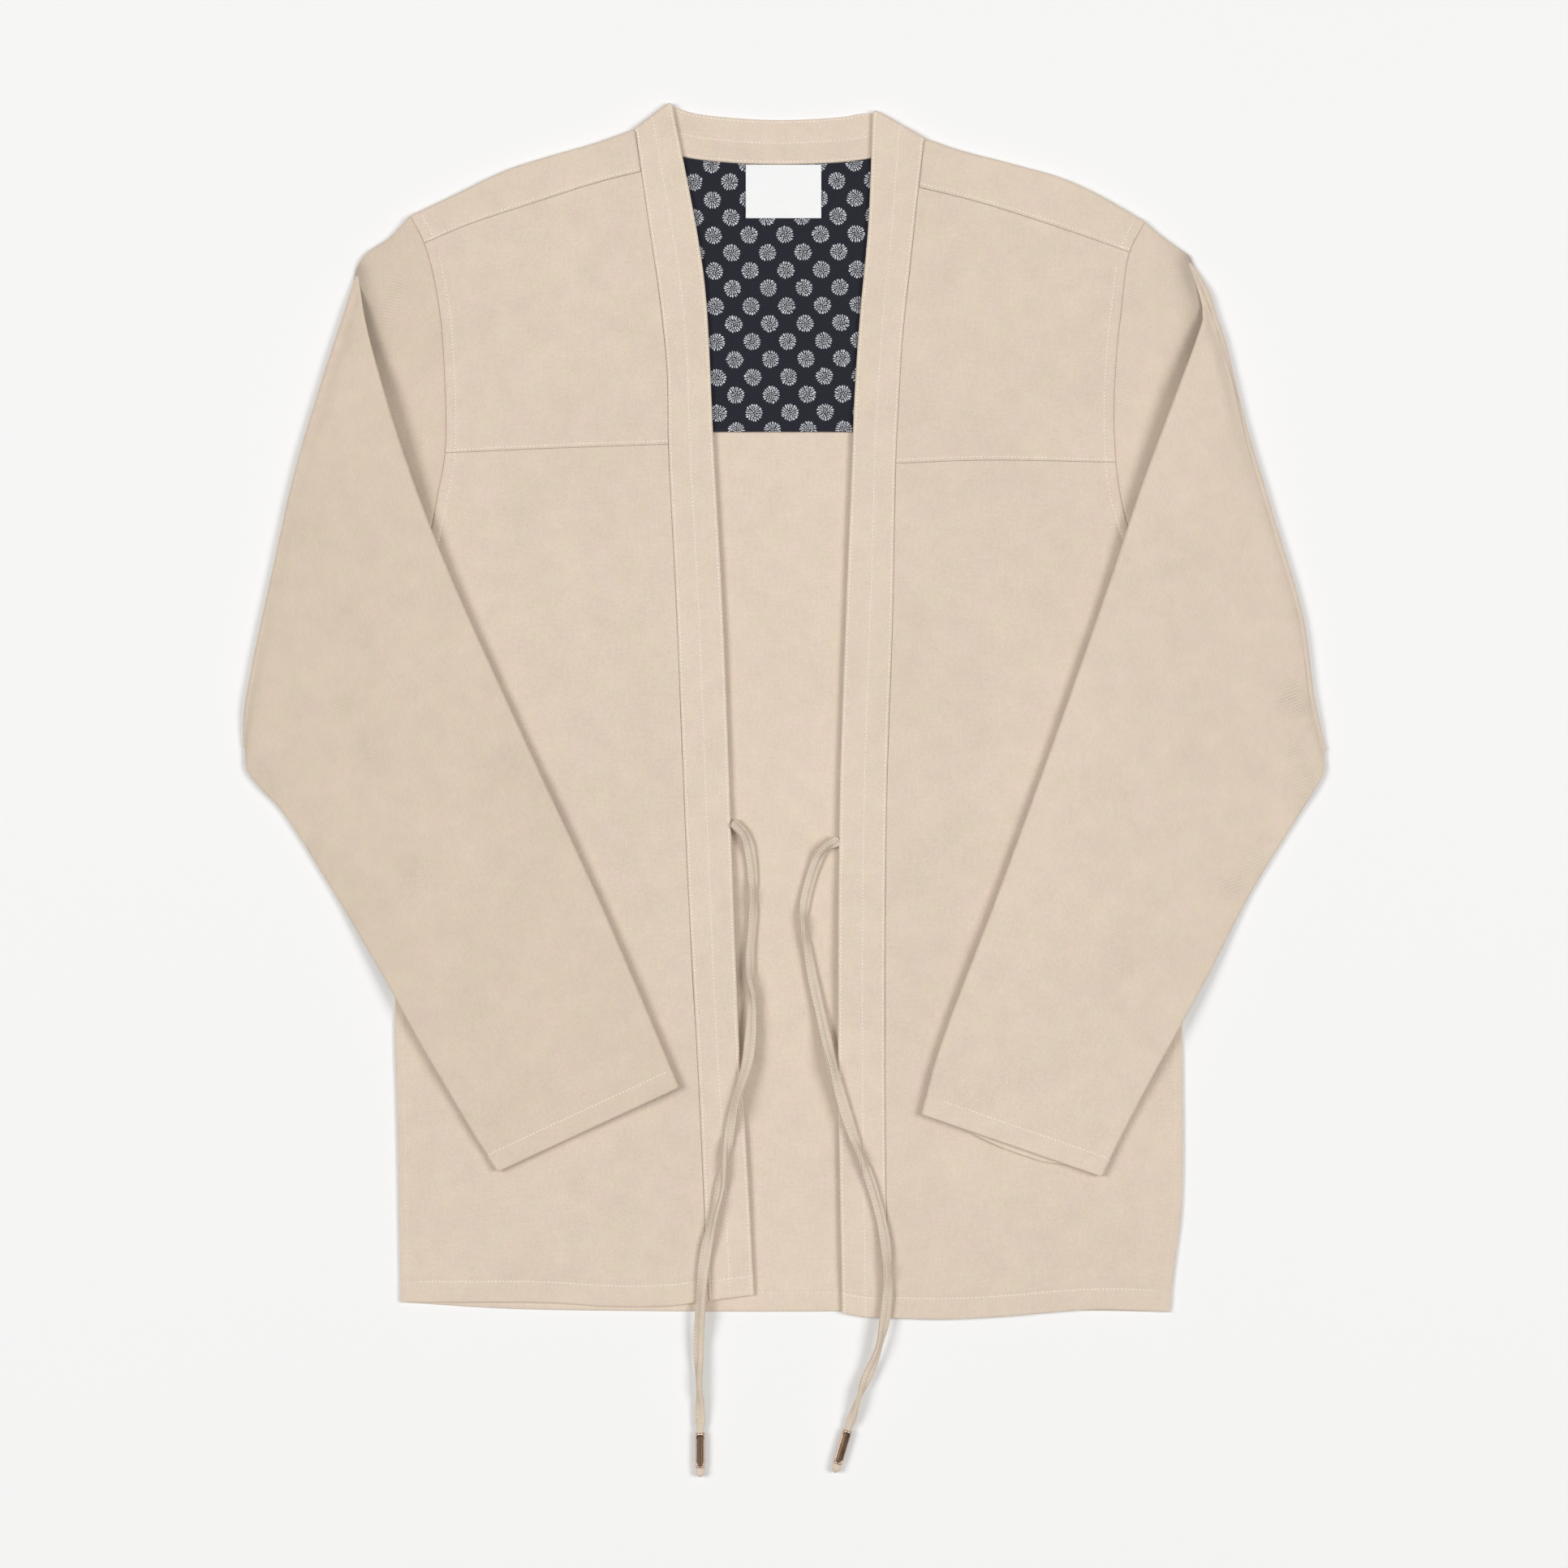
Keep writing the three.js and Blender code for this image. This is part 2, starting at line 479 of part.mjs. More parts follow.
// Sleeve: loops round a flattened tube. `middle` is the surface half way between its two layers,
// `half` is half the space between them and `up` points from the back layer to the front one.
const CAP = steps(4).slice(1, -1).map((t) => Math.PI * t);
function loopOf(middle) {
  const back = middle.map((m) => m.p.clone().addScaledVector(m.up, -m.half));
  const front = middle.map((m) => m.p.clone().addScaledVector(m.up, m.half));
  const cap = (m, inner) => {
    const out = m.p.clone().sub(inner.p);
    out.addScaledVector(m.up, -out.dot(m.up)).normalize();
    return CAP.map((t) => m.p.clone().addScaledVector(out, m.half * Math.sin(t))
      .addScaledVector(m.up, -m.half * Math.cos(t)));
  };
  const n = middle.length;
  return [...back, ...cap(middle[n - 1], middle[n - 2]), ...front.reverse(),
    ...cap(middle[0], middle[1]).reverse()];
}

function sleeve(half) {
  const { arm, marks, start, end } = armholeOf(half);
  const ring = marksIn(marks, start, end);
  const outline = line(half.fold);
  const out = (f) => {
    const g = heading(outline, Math.min(f, 0.97), 0.02);
    return half.sign < 0 ? new THREE.Vector3(-g.y, g.x, 0) : new THREE.Vector3(g.y, -g.x, 0);
  };
  const axis = { length: outline.length, at: (f) => outline.at(f).addScaledVector(out(f), -(FOLD_OUT + CLOTH / 2)) };
  const [top, elbow] = [axis.at(0), axis.at(1)];
  const natural = span({
    top: arm, bottom: axis, a: line([...half.overarm.slice(0, -1), top]), b: straight(half.underarm[0], elbow),
  });
  const overarm = line([top, ...half.overarmFolded.slice(1)]);
  const underarm = line([elbow, ...half.underarmFolded.slice(1)]);
  const folded = span({ top: axis, bottom: straight(overarm.at(1), underarm.at(1)), a: overarm, b: underarm });

  const [g0, g1] = [TURN, (SIDE_Z - BACK_Z) / 2 + ARMPIT_ROOM];
  const foldHalf = (FOLD_OUT - FOLD_IN) / 2;
  const foldMid = (FOLD_OUT + FOLD_IN) / 2;
  const foldZ = BACK_Z + FOLD_OUT;
  const share = (w, length, end0, end1) =>
    mix((end0 + CLOTH / 2) / length, 1 - (end1 + CLOTH / 2) / length, w);
  const spread = (place, v) => place(0, v).distanceTo(place(1, v));

  // From the armhole to the fold, the back layer on the surface.
  const loops = [0, 0.3, 0.6, 0.84].map((s) => loopOf(ring.map((w) => {
    const u = share(w, arm.length, mix(g0, foldHalf, s), mix(g1, foldHalf, s));
    const p = natural(u, Math.max(s, SEAM / 2 * (1 + 4.5 * u ** 6) / mix(46, 127, u)));
    const a = arm.at(u);
    const z = mix(frontHeight(half, a.x, a.y), SLEEVE_FRONT_Z, s);
    const gap = (z - BACK_Z) / 2;
    p.z = BACK_Z + gap;
    return { p, up: new THREE.Vector3(0, 0, 1), half: gap };
  })));
  // Round the fold.
  for (const t of steps(6)) {
    const turn = Math.PI * t;
    loops.push(loopOf(ring.map((w) => {
      const u = share(w, axis.length, foldHalf, foldHalf);
      const d = out(u);
      const p = axis.at(u).addScaledVector(d, foldMid * Math.sin(turn));
      p.z = foldZ - foldMid * Math.cos(turn);
      const up = d.clone().multiplyScalar(-Math.sin(turn)).setZ(Math.cos(turn));
      return { p, up, half: foldHalf };
    })));
  }
  // Down over the front, or down to the surface beside the body.
  const side = steps(40).map((f) => line(half.sideSeam).at(f));
  const edge = [elbow, half.underarm[0], ...side.slice(1)];
  const axisPoints = steps(30).map(axis.at);
  const beside = (x, y) => {
    const [p, q] = [half.underarm[0], elbow];
    const below = (x - p.x) * (q.y - p.y) - (y - p.y) * (q.x - p.x);
    const past = half.sign * x > Math.abs(side[0].x) || y < p.y;
    const outer = half.sign * x - Math.abs(side.reduce((m, s) =>
      (Math.abs(s.y - y) < Math.abs(m.y - y) ? s : m)).x);
    return past && half.sign * below > 0 && outer > 0 ? reach(edge, x, y) : -reach(edge, x, y);
  };
  const downs = [0.008, 0.03, 0.065, 0.105, 0.15, ...steps(14).map((t) => mix(0.2, 1, t))];
  for (const s of downs) {
    const gap = mix(foldHalf, SLEEVE_HALF, ease(s / 0.15));
    const width = spread(folded, s);
    loops.push(loopOf(ring.map((w) => {
      const p = folded(share(w, width, gap, gap), s);
      const fromFold = reach(axisPoints, p.x, p.y);
      const over = mix(SLEEVE_FRONT_Z, FRONT_Z, ease(fromFold / 60));
      const cover = 1 - ease((beside(p.x, p.y) + 10) / DRAPE);
      const lift = 2.2 * (1 - w) ** 2 * Math.exp(-(((s - 0.2) / 0.12) ** 2));
      const rest = mix(BACK_Z, over + SLEEVE_REST, cover) + gap;
      p.z = mix(foldZ + foldMid, rest, ease(fromFold / 40)) + lift;
      return { p, up: new THREE.Vector3(0, 0, -1), half: gap };
    })));
  }
  return new Sheet().grid(loops, true).wall(CLOTH);
}

const vec = ([x, y, z]) => new THREE.Vector3(x, y, z);
function strap(name) {
  const { from, to } = AGLET_AXIS[name];
  const [a, b] = [vec(from), vec(to)];
  const along = b.clone().sub(a).normalize();
  const points = [...STRAPS[name].map((p) => vec([p.x, p.y, p.z])), a.clone().addScaledVector(along, -5),
    a.clone().addScaledVector(along, -0.5), b.clone(), b.clone().addScaledVector(along, TAIL)];
  const curve = new THREE.CatmullRomCurve3(points, false, 'centripetal');
  curve.arcLengthDivisions = 800;
  const length = curve.getLength();
  const count = 46;
  const sides = 8;
  const round = (TAIL + AGLET.length + 3) / length;
  const positions = [];
  for (let i = 0; i <= count; i++) {
    const f = i / count;
    const p = curve.getPointAt(f);
    const t = curve.getTangentAt(f);
    const across = new THREE.Vector3(t.y, -t.x, 0).normalize();
    const up = across.clone().cross(t);
    const flat = ease((1 - round - f) * length / 12);
    const [w, h] = [mix(STRAP.core, STRAP.half, flat), mix(STRAP.core, STRAP.thick, flat)];
    for (let k = 0; k < sides; k++) {
      const turn = Math.PI * 2 * (k + 0.5) / sides;
      const [c, s] = [Math.cos(turn) / Math.cos(Math.PI / sides), Math.sin(turn) / Math.cos(Math.PI / sides)];
      positions.push(...p.clone().addScaledVector(across, w * c).addScaledVector(up, -h * s).toArray());
    }
  }
  const index = [];
  for (let i = 0; i < count; i++) {
    for (let k = 0; k < sides; k++) {
      const [p, q] = [i * sides + k, i * sides + (k + 1) % sides];
      index.push(p, q, q + sides, p, q + sides, p + sides);
    }
  }
  for (let k = 1; k < sides - 1; k++) {
    index.push(0, k + 1, k, count * sides, count * sides + k, count * sides + k + 1);
  }
  const g = new THREE.BufferGeometry();
  g.setAttribute('position', new THREE.Float32BufferAttribute(positions, 3));
  g.setIndex(index);
  return g;
}

// Aglet: a tube with a rim at each end and a sunk panel between them.
function aglet(name) {
  const { from, to } = AGLET_AXIS[name];
  const { bore, wall, rim, length, lip } = AGLET;
  const outside = table(['r', 'y'], [[rim - 0.3, 0], [rim, 0.3], [rim, lip - 0.3], [wall, lip],
    [wall, length - lip], [rim, length - lip + 0.3], [rim, length - 0.3], [rim - 0.3, length]]);
  const profile = [...outside.map((p) => new THREE.Vector2(p.r, p.y)),
    new THREE.Vector2(bore, length), new THREE.Vector2(bore, 0)];
  profile.push(profile[0].clone());
  const sides = 16;
  const positions = [];
  const ring = profile.slice(0, -1);
  for (let k = 0; k < sides; k++) {
    const turn = Math.PI * 2 * k / sides;
    ring.forEach((p) => positions.push(p.x * Math.cos(turn), p.y, p.x * Math.sin(turn)));
  }
  const n = ring.length;
  const index = [];
  for (let k = 0; k < sides; k++) {
    for (let i = 0; i < n; i++) {
      const [a, b] = [k * n + i, k * n + (i + 1) % n];
      const [c, d] = [((k + 1) % sides) * n + (i + 1) % n, ((k + 1) % sides) * n + i];
      index.push(a, b, c, a, c, d);
    }
  }
  const g = new THREE.BufferGeometry();
  g.setAttribute('position', new THREE.Float32BufferAttribute(positions, 3));
  g.setIndex(index);
  const along = vec(to).sub(vec(from)).normalize();
  g.applyQuaternion(new THREE.Quaternion().setFromUnitVectors(new THREE.Vector3(0, 1, 0), along));
  g.translate(...from);
  return g;
}

add('back', back(), 'cloth');
add('back_yoke', yoke(), 'cloth');
add('yoke_lining', lining(), 'lining');
add('label', label(), 'label');
add('collar_neck', collarNeck(), 'cloth');
for (const [name, half] of [['right', RIGHT], ['left', LEFT]]) {
  add(`front_chest_${name}`, chest(half), 'cloth');
  add(`front_${name}`, front(half), 'cloth');
  add(`collar_${name}`, collarRun(half), 'cloth');
  add(`sleeve_${name}`, sleeve(half), 'cloth');
  add(`tie_${name}`, strap(name), 'cloth');
  add(`aglet_${name}`, aglet(name), 'aglet');
}

export default root;
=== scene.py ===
# Noragi jacket laid flat on its back, both sleeves folded over onto the fronts.
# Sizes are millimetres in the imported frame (+X the wearer's left, +Y to the collar, +Z up) and
# become metres where a mesh is made. Cloth is a thin closed wall grown from a centre surface.
import math

import bpy
import numpy as np
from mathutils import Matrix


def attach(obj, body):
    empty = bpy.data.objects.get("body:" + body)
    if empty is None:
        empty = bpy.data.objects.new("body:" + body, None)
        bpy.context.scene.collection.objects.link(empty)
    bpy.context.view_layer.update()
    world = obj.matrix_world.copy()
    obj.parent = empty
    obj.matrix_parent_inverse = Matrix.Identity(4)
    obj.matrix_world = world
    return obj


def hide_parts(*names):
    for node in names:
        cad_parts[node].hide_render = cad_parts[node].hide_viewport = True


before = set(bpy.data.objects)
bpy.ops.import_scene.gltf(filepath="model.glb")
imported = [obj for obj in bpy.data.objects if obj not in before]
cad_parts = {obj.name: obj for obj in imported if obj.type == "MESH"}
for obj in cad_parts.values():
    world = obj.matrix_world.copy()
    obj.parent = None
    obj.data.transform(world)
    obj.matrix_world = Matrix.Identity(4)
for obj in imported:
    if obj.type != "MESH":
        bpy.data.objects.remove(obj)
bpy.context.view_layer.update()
MM = 0.001

# Thickness of one cloth layer, of the doubled band and of the lining; gaps where pieces meet.
CLOTH, BAND, THIN = 1.2, 2.4, 1.0
SEAM, NECK_GAP = 0.08, 0.2
# Heights of the centre surfaces: the back, the fronts, their hems and side edges, lining, label.
BACK_Z, FRONT_Z, HEM_Z, SIDE_Z = 0.6, 4.6, 3.9, 2.4
SIDE_SEWN = 1.85              # the front layer's height where it is sewn to the back at the side
LINING_Z, LABEL_Z = 2.0, 3.3
SIDE_EASE = 42                # the fronts rise to their full height this far in from the side seam
YOKE_SEAM_Y, HEM_START_Y = 179.1, -310
# Sleeves: radii of the fold, half the tube's height, then the front's height by the fold, the rise
# above the front, the distance over which a sleeve comes down to the floor, room at the armpit.
FOLD_OUT, FOLD_IN, SLEEVE_HALF = 2.5, 1.0, 1.6
SLEEVE_FRONT_Z, SLEEVE_REST, DRAPE, ARMPIT_ROOM = 2.1, 2.5, 55, 1.0
# Radii of the turn over the shoulders, of the outer cloth and of the band.
TURN = (FRONT_Z - BACK_Z) / 2
BAND_TURN = (FRONT_Z - BAND / 2) / 2
LABEL = dict(x0=-25, x1=23.4, y0=316, y1=350.4)
AGLET = dict(wall=2.85, rim=3.15, bore=2.3, length=22.5)
TAIL = 6                      # the strap shows this far past the aglet
PITCH = 2.4                   # stitch pitch

# Plan lines of each half, columns x, y.
RIGHT = dict(
    sign=-1,
    shoulder=[(-240, 317.7), (-215.1, 329.5), (-178.6, 346.9), (-150.4, 356), (-120.6, 364.6),
              (-97.3, 373)],
    armhole=[(-240, 317.7), (-230, 297.2), (-221.7, 260.8), (-218.1, 219.2), (-217.6, 166.1),
             (-223.4, 133.4), (-233, 86.6), (-242.8, 49.1)],
    yokeSeam=[(-231.9, 299.8), (-203.8, 311.7), (-170.3, 322.9), (-120.6, 338.8), (-92.9, 346.1)],
    chestSeam=[(-217.6, 165.6), (-147.2, 168.7), (-74.7, 171.3)],
    sideSeam=[(-242.8, 49.1), (-247, -64.2), (-250, -189), (-248, -272.2), (-246.2, -378.8)],
    frontHem=[(-246.2, -378.8), (-153.6, -378.8), (-112.3, -381.3), (-74, -380.9), (-49.1, -377.8)],
    bandHem=[(-49.1, -377.8), (-35.9, -376), (-19.6, -374)],
    bandSeam=[(-97.3, 373), (-87, 310.9), (-80.3, 266.1), (-75.4, 216.6), (-74.6, 171.7),
              (-69.2, 60.6), (-62.4, -104.3), (-54.6, -250.9), (-49.1, -377.8)],
    bandEdge=[(-73.8, 390.6), (-55.7, 304.5), (-50.5, 266.1), (-45.6, 171.7), (-39.5, 60.6),
              (-33.3, -104.3), (-28.3, -231.1), (-25, -272.7), (-19.6, -374)],
    fold=[(-275.1, 280), (-281.8, 258.2), (-295.4, 216.6), (-314.1, 154.2), (-328.1, 91.8),
          (-341.6, 29.4), (-346.8, -1.8), (-347.4, -23.7)],
    overarm=[(-240, 317.7), (-252.2, 304.5), (-269.4, 292), (-275.1, 280)],
    overarmFolded=[(-275.1, 280), (-267.8, 247.8), (-253.2, 195.8), (-236.1, 143.8), (-215.8, 91.8),
                   (-169, -12.2), (-120.6, -116.2), (-75.9, -220.2), (-67.6, -240.5)],
    underarm=[(-242.8, 49.1), (-347.4, -23.7)],
    underarmFolded=[(-347.4, -23.7), (-345.2, -29.5), (-344.2, -38.2), (-336.4, -48.6),
                    (-321.9, -64.2), (-288.6, -116.2), (-257.6, -168.2), (-228.6, -220.2),
                    (-198, -272.2), (-183.8, -294.6)],
)
LEFT = dict(
    sign=1,
    shoulder=[(230.9, 313.8), (222.5, 319), (202.1, 330.6), (178.4, 341.6), (144.6, 351.3),
              (110.8, 360.2), (90.5, 367.2)],
    armhole=[(230.9, 313.8), (220.7, 293.5), (215.7, 258.2), (212.2, 224.4), (211, 180.2),
             (215.7, 134.6), (232.4, 86.6), (251.2, 44.5)],
    yokeSeam=[(221.3, 294.1), (184.6, 307.1), (151.3, 318.1), (119.6, 327.6), (86.5, 335.9)],
    chestSeam=[(212.3, 159.6), (127.7, 160.9), (71.2, 158.9)],
    sideSeam=[(251.2, 44.5), (255.3, -64.2), (254.8, -199.4), (254.3, -317.5), (249.3, -358.9),
              (246.8, -385.1)],
    frontHem=[(246.8, -385.1), (201.2, -383.3), (136.6, -387.9), (100, -389.6), (66, -388.7)],
    bandHem=[(66, -388.7), (50.3, -387.9), (36.7, -385.4)],
    bandSeam=[(90.5, 367.2), (81.3, 294.3), (75.4, 237.9), (73, 196.5), (71.3, 164.6), (69.2, 60.6),
              (65.4, -53.8), (64.3, -228.9), (66, -388.7)],
    bandEdge=[(57.8, 385.8), (53.4, 310.9), (48.2, 254.5), (44.8, 204.8), (43.2, 164.6), (39, 60.6),
              (35.2, -53.8), (34.1, -220.2), (36.7, -385.4)],
    fold=[(260.2, 288.5), (265.8, 280), (272, 269.3), (276.6, 254.5), (281.8, 239.6), (295.4, 185.4),
          (314.1, 123), (332.3, 60.6), (339.6, 8.6), (344.2, -12.2), (347.4, -25.2)],
    overarm=[(230.9, 313.8), (247, 299.8), (260.2, 288.5)],
    overarmFolded=[(260.2, 288.5), (263, 276), (266.4, 264.8), (267.8, 254.5), (263.6, 239.8),
                   (247, 195.8), (227.8, 143.8), (210.6, 91.8), (174.2, -12.2), (136.2, -116.2),
                   (97.2, -220.2), (87.4, -257.7)],
    underarm=[(251.2, 44.5), (347.4, -25.2)],
    underarmFolded=[(347.4, -25.2), (345.4, -31), (345.6, -38.2), (339.6, -50.2), (330.7, -64.2),
                    (298.5, -116.2), (271.4, -168.2), (242.8, -220.2), (215.3, -272.2),
                    (202.8, -297.7)],
)
SIDES = (("right", RIGHT), ("left", LEFT))
NECK_SEAM = [(-86.8, 362.2), (-64.5, 355.4), (-34.8, 351.8), (-1.6, 350.7), (38, 352.3), (61.9, 355.9),
             (79.6, 361.1)]
NECK_TOP = [(-60.8, 384.1), (-34.8, 380.7), (-1.6, 379.2), (38, 381.3), (50, 383.4)]
BACK_HEM = [(-246.2, -380.4), (-178.4, -384.3), (-95.7, -385.4), (6.8, -385.4), (142, -383.5),
            (246.8, -384.5)]

# Soft swells of the fronts: x, y, turn from +Y in degrees, length, width, rise.
SWELLS = [(-150, -330, 20, 70, 26, 0.5), (-96, 60, -8, 90, 20, 0.4), (-215, -250, 6, 80, 18, -0.4),
          (130, -320, -14, 80, 28, 0.5), (112, 40, 10, 100, 22, 0.4), (222, -230, -4, 90, 16, -0.4)]

# Straps: centre line x, y, z, then the two ends of the aglet's axis.
STRAPS = dict(
    right=[(-31.6, -72.5, 4.2), (-26, -78.8, 3.6), (-21.8, -93.3, 2.8), (-20.3, -126.1, 2.75),
           (-22.4, -158.9, 3.2), (-21.1, -189.5, 5.6), (-23.9, -224.4, 8.3), (-31.7, -250.9, 8.3),
           (-38, -285.7, 8.0), (-43.7, -316.4, 7.8), (-51, -349.2, 7.3), (-53.6, -377.3, 6.9),
           (-55.1, -403.3, 5.6), (-55.1, -420, 4.2), (-54.4, -444.9, 3.25)],
    left=[(32.6, -83.5, 4.2), (27.2, -86.6, 3.6), (21.8, -93.3, 2.8), (12.2, -128.2, 2.75),
          (15.6, -158.9, 2.9), (22.9, -193.7, 4.6), (31.7, -231.1, 7.9), (42.6, -268.1, 8.0),
          (54.9, -301.3, 7.8), (63.4, -334.1, 7.6), (65.8, -364.8, 7.2), (64, -388.6, 6.9),
          (58.8, -411.1, 5.6), (48.9, -435.5, 4.0)],
)
AGLET_AXIS = dict(
    right=[(-54.2, -462.2, 3.2), (-54.2, -484.7, 3.2)],
    left=[(40.3, -460.6, 3.2), (33.8, -482.1, 3.2)],
)
# How far each strap has turned about its own line: distance from its start, degrees.
TWISTS = dict(
    right=[(0, 45), (10, 40), (20, 12), (36, 18), (47, 55), (62, 30), (88, 32), (107, 92), (124, 158),
           (150, 168), (178, 128), (199, 165), (220, 262), (240, 335), (255, 308), (285, 350),
           (311, 318), (340, 345), (366, 284), (388, 348), (430, 360)],
    left=[(0, 25), (8, 60), (22, 15), (45, 20), (60, 74), (80, 22), (105, 10), (135, 25), (150, 50),
          (172, 12), (195, 15), (212, 72), (231, 8), (262, 14), (275, 28), (289, 62), (305, 25),
          (320, 30), (336, 58), (356, 22), (376, 100), (394, 160), (430, 180)],
)


# ---- plan geometry ----------------------------------------------------------------------------
def mix(a, b, t):
    return a + (b - a) * t


def ease(t):
    c = np.clip(t, 0, 1)
    return c * c * (3 - 2 * c)


def unit(v):
    return v / np.maximum(np.linalg.norm(v, axis=-1, keepdims=True), 1e-12)


def lengths_along(P):
    """How far along a row of points each of them lies."""
    return np.concatenate([[0], np.cumsum(np.linalg.norm(np.diff(P, axis=0), axis=1))])


def across_rows(row, shape):
    return np.broadcast_to(row[:, None], shape)


class Line:
    """A plan line read by the share of its length; smooth lines are centripetal Catmull-Rom."""

    def __init__(self, points, smooth=True):
        P = np.array([tuple(p) + (0.0,) * (3 - len(p)) for p in points], float)
        if smooth and len(P) > 2:
            ext = np.vstack([2 * P[0] - P[1], P, 2 * P[-1] - P[-2]])
            out = []
            for i in range(len(P) - 1):
                a, b, c, d = ext[i:i + 4]
                steps = ((a, b), (b, c), (c, d))
                k0, k1, k2 = [max(np.sum((q - p) ** 2) ** 0.25, 1e-4) for p, q in steps]
                t1 = ((b - a) / k0 - (c - a) / (k0 + k1) + (c - b) / k1) * k1
                t2 = ((c - b) / k1 - (d - b) / (k1 + k2) + (d - c) / k2) * k1
                t = np.linspace(0, 1, 40, endpoint=i == len(P) - 2)[:, None]
                square = -3 * b + 3 * c - 2 * t1 - t2
                cube = 2 * b - 2 * c + t1 + t2
                out.append(b + t1 * t + square * t ** 2 + cube * t ** 3)
            P = np.vstack(out)
        self.P = P
        s = lengths_along(P)
        self.length = s[-1]
        self.s = s / s[-1]

    def at(self, f):
        f = np.clip(f, 0, 1)
        return np.stack([np.interp(f, self.s, self.P[:, k]) for k in range(3)], -1)

    def part(self, a, b):
        return Line(self.at(np.linspace(a, b, 240)), False)

    def share_at_y(self, y):
        f = np.linspace(0, 1, 4001)
        return f[np.argmax(self.at(f)[:, 1] <= y)]

    def heading(self, f, df=0.01):
        return unit(self.at(f) - self.at(f + df))


def straight(p, q):
    return Line([tuple(p[:2]), tuple(q[:2])], False)


def chain(p, q):
    """Two lines as one; `share` is the part of its length that the first takes."""
    line = Line(np.vstack([p.P, q.P[1:]]), False)
    line.share = p.length / (p.length + q.length)
    return line


def span(top, bottom, a, b):
    """A surface in plan between four lines: u from side a to side b, v from the top to the bottom."""
    c = [top.at(0.0), top.at(1.0), bottom.at(0.0), bottom.at(1.0)]

    def place(u, v):
        u, v = np.broadcast_arrays(np.asarray(u, float), np.asarray(v, float))
        U, V = u[..., None], v[..., None]
        return ((1 - V) * top.at(u) + V * bottom.at(u) + (1 - U) * a.at(v) + U * b.at(v)
                - (1 - U) * (1 - V) * c[0] - U * (1 - V) * c[1] - (1 - U) * V * c[2] - U * V * c[3])
    return place


def reach(points, x, y):
    """Distance of each x, y from a broken line."""
    best = np.full(np.shape(x), np.inf)
    for p, q in zip(points[:-1], points[1:]):
        dx, dy = q[0] - p[0], q[1] - p[1]
        t = np.clip(((x - p[0]) * dx + (y - p[1]) * dy) / (dx * dx + dy * dy), 0, 1)
        best = np.minimum(best, np.hypot(x - p[0] - t * dx, y - p[1] - t * dy))
    return best


def drift(x, y, size, seed):
    """Smooth uneven waves, about -1 to 1, `size` mm long."""
    rng = np.random.RandomState(seed)
    total = 0.0
    for _ in range(6):
        turn = rng.uniform(0, math.pi)
        length = size * rng.uniform(0.7, 1.6)
        phase = rng.uniform(0, 6.28)
        total = total + np.sin(2 * math.pi * (x * math.cos(turn) + y * math.sin(turn)) / length + phase)
    return total / 2.6


def settle(y):
    """Height of the fronts and the band, which come down towards the hem."""
    return mix(FRONT_Z, HEM_Z, ease((HEM_START_Y - y) / 65))


def swell(x, y):
    total = 0.0
    for sx, sy, turn, long, wide, rise in SWELLS:
        t = math.radians(turn)
        dx, dy = x - sx, y - sy
        along = (dy * math.cos(t) - dx * math.sin(t)) / long
        across = (dx * math.cos(t) + dy * math.sin(t)) / wide
        total = total + rise * np.exp(-along ** 2 - across ** 2)
    return total


def front_height(half, x, y, sewn=True):
    d = reach(half["sideSeam"], x, y)
    start = mix(SIDE_SEWN, SIDE_Z, ease(d / 6)) if sewn else SIDE_Z
    soft = 0.25 * drift(x, y, 95, 5) + 0.1 * drift(x, y, 34, 6)
    return mix(start, settle(y) + swell(x, y) + soft, ease(d / SIDE_EASE))


def band_lift(half, y, u):
    """The band's free edge stands up a little where the strap crosses it."""
    return (2.4 if half["sign"] < 0 else 1.5) * u * np.exp(-(((y + 150) / 55) ** 2))


# ---- cloth walls ------------------------------------------------------------------------------
ROUND = [0, 0.07, 0.22, 0.5, 0.95]        # columns that round an edge


def row_marks(at, width=0.8):
    return [at - width, at - width / 2, at, at + width / 2, at + width]


def ticks(nominal, near, far, step):
    """Shares of a width: `near` and `far` are fixed distances from its two ends."""
    near, far = np.array(near, float), np.array(far, float)[::-1]
    n = max(2, round((nominal - near[-1] - far[0]) / step))
    t = np.linspace(0, 1, n + 1)[1:-1]

    def at(width):
        w = np.asarray(width, float)[..., None]
        middle = near[-1] + t * (w - near[-1] - far[0])
        return np.concatenate([near / w, middle / w, 1 - far / w], -1)
    return at


def marks(width, near, far, step):
    """The shares `ticks` gives for one width."""
    return ticks(width, near, far, step)(np.array([width]))[0]


def rounded(d, r=0.9):
    """Height of a round edge at the distance d from it, as a share of its full height."""
    return np.sqrt(np.maximum(1 - (1 - np.clip(d / r, 0, 1)) ** 2, 0))


def dip(d, at, depth=0.36, width=0.75):
    """Groove that a row of stitches pulls into the cloth."""
    return -depth * np.exp(-((d - at) / width) ** 2)


def bulk(d, at, rise=0.35):
    """Seam allowance or hem layer beneath: raised from the edge to the row of stitches."""
    return rise * ease(d / 1.4) * (1 - ease((d - at + 0.4) / 0.9))


def pucker(along, d, at, size=9.0, rise=0.12, reach_mm=5.0, seed=1):
    """Small waves along a row of stitches, which fade on both sides of it."""
    wave = np.sin(2 * math.pi * along / size + 1.3 * drift(along, d * 0, 60, seed))
    fade = np.exp(-np.abs(d - at) / reach_mm)
    return rise * wave * fade * (0.6 + 0.4 * drift(along, d * 0, 110, seed + 7))


def grid_faces(idx):
    return np.stack([idx[:-1, :-1], idx[:-1, 1:], idx[1:, 1:], idx[1:, :-1]], -1).reshape(-1, 4)


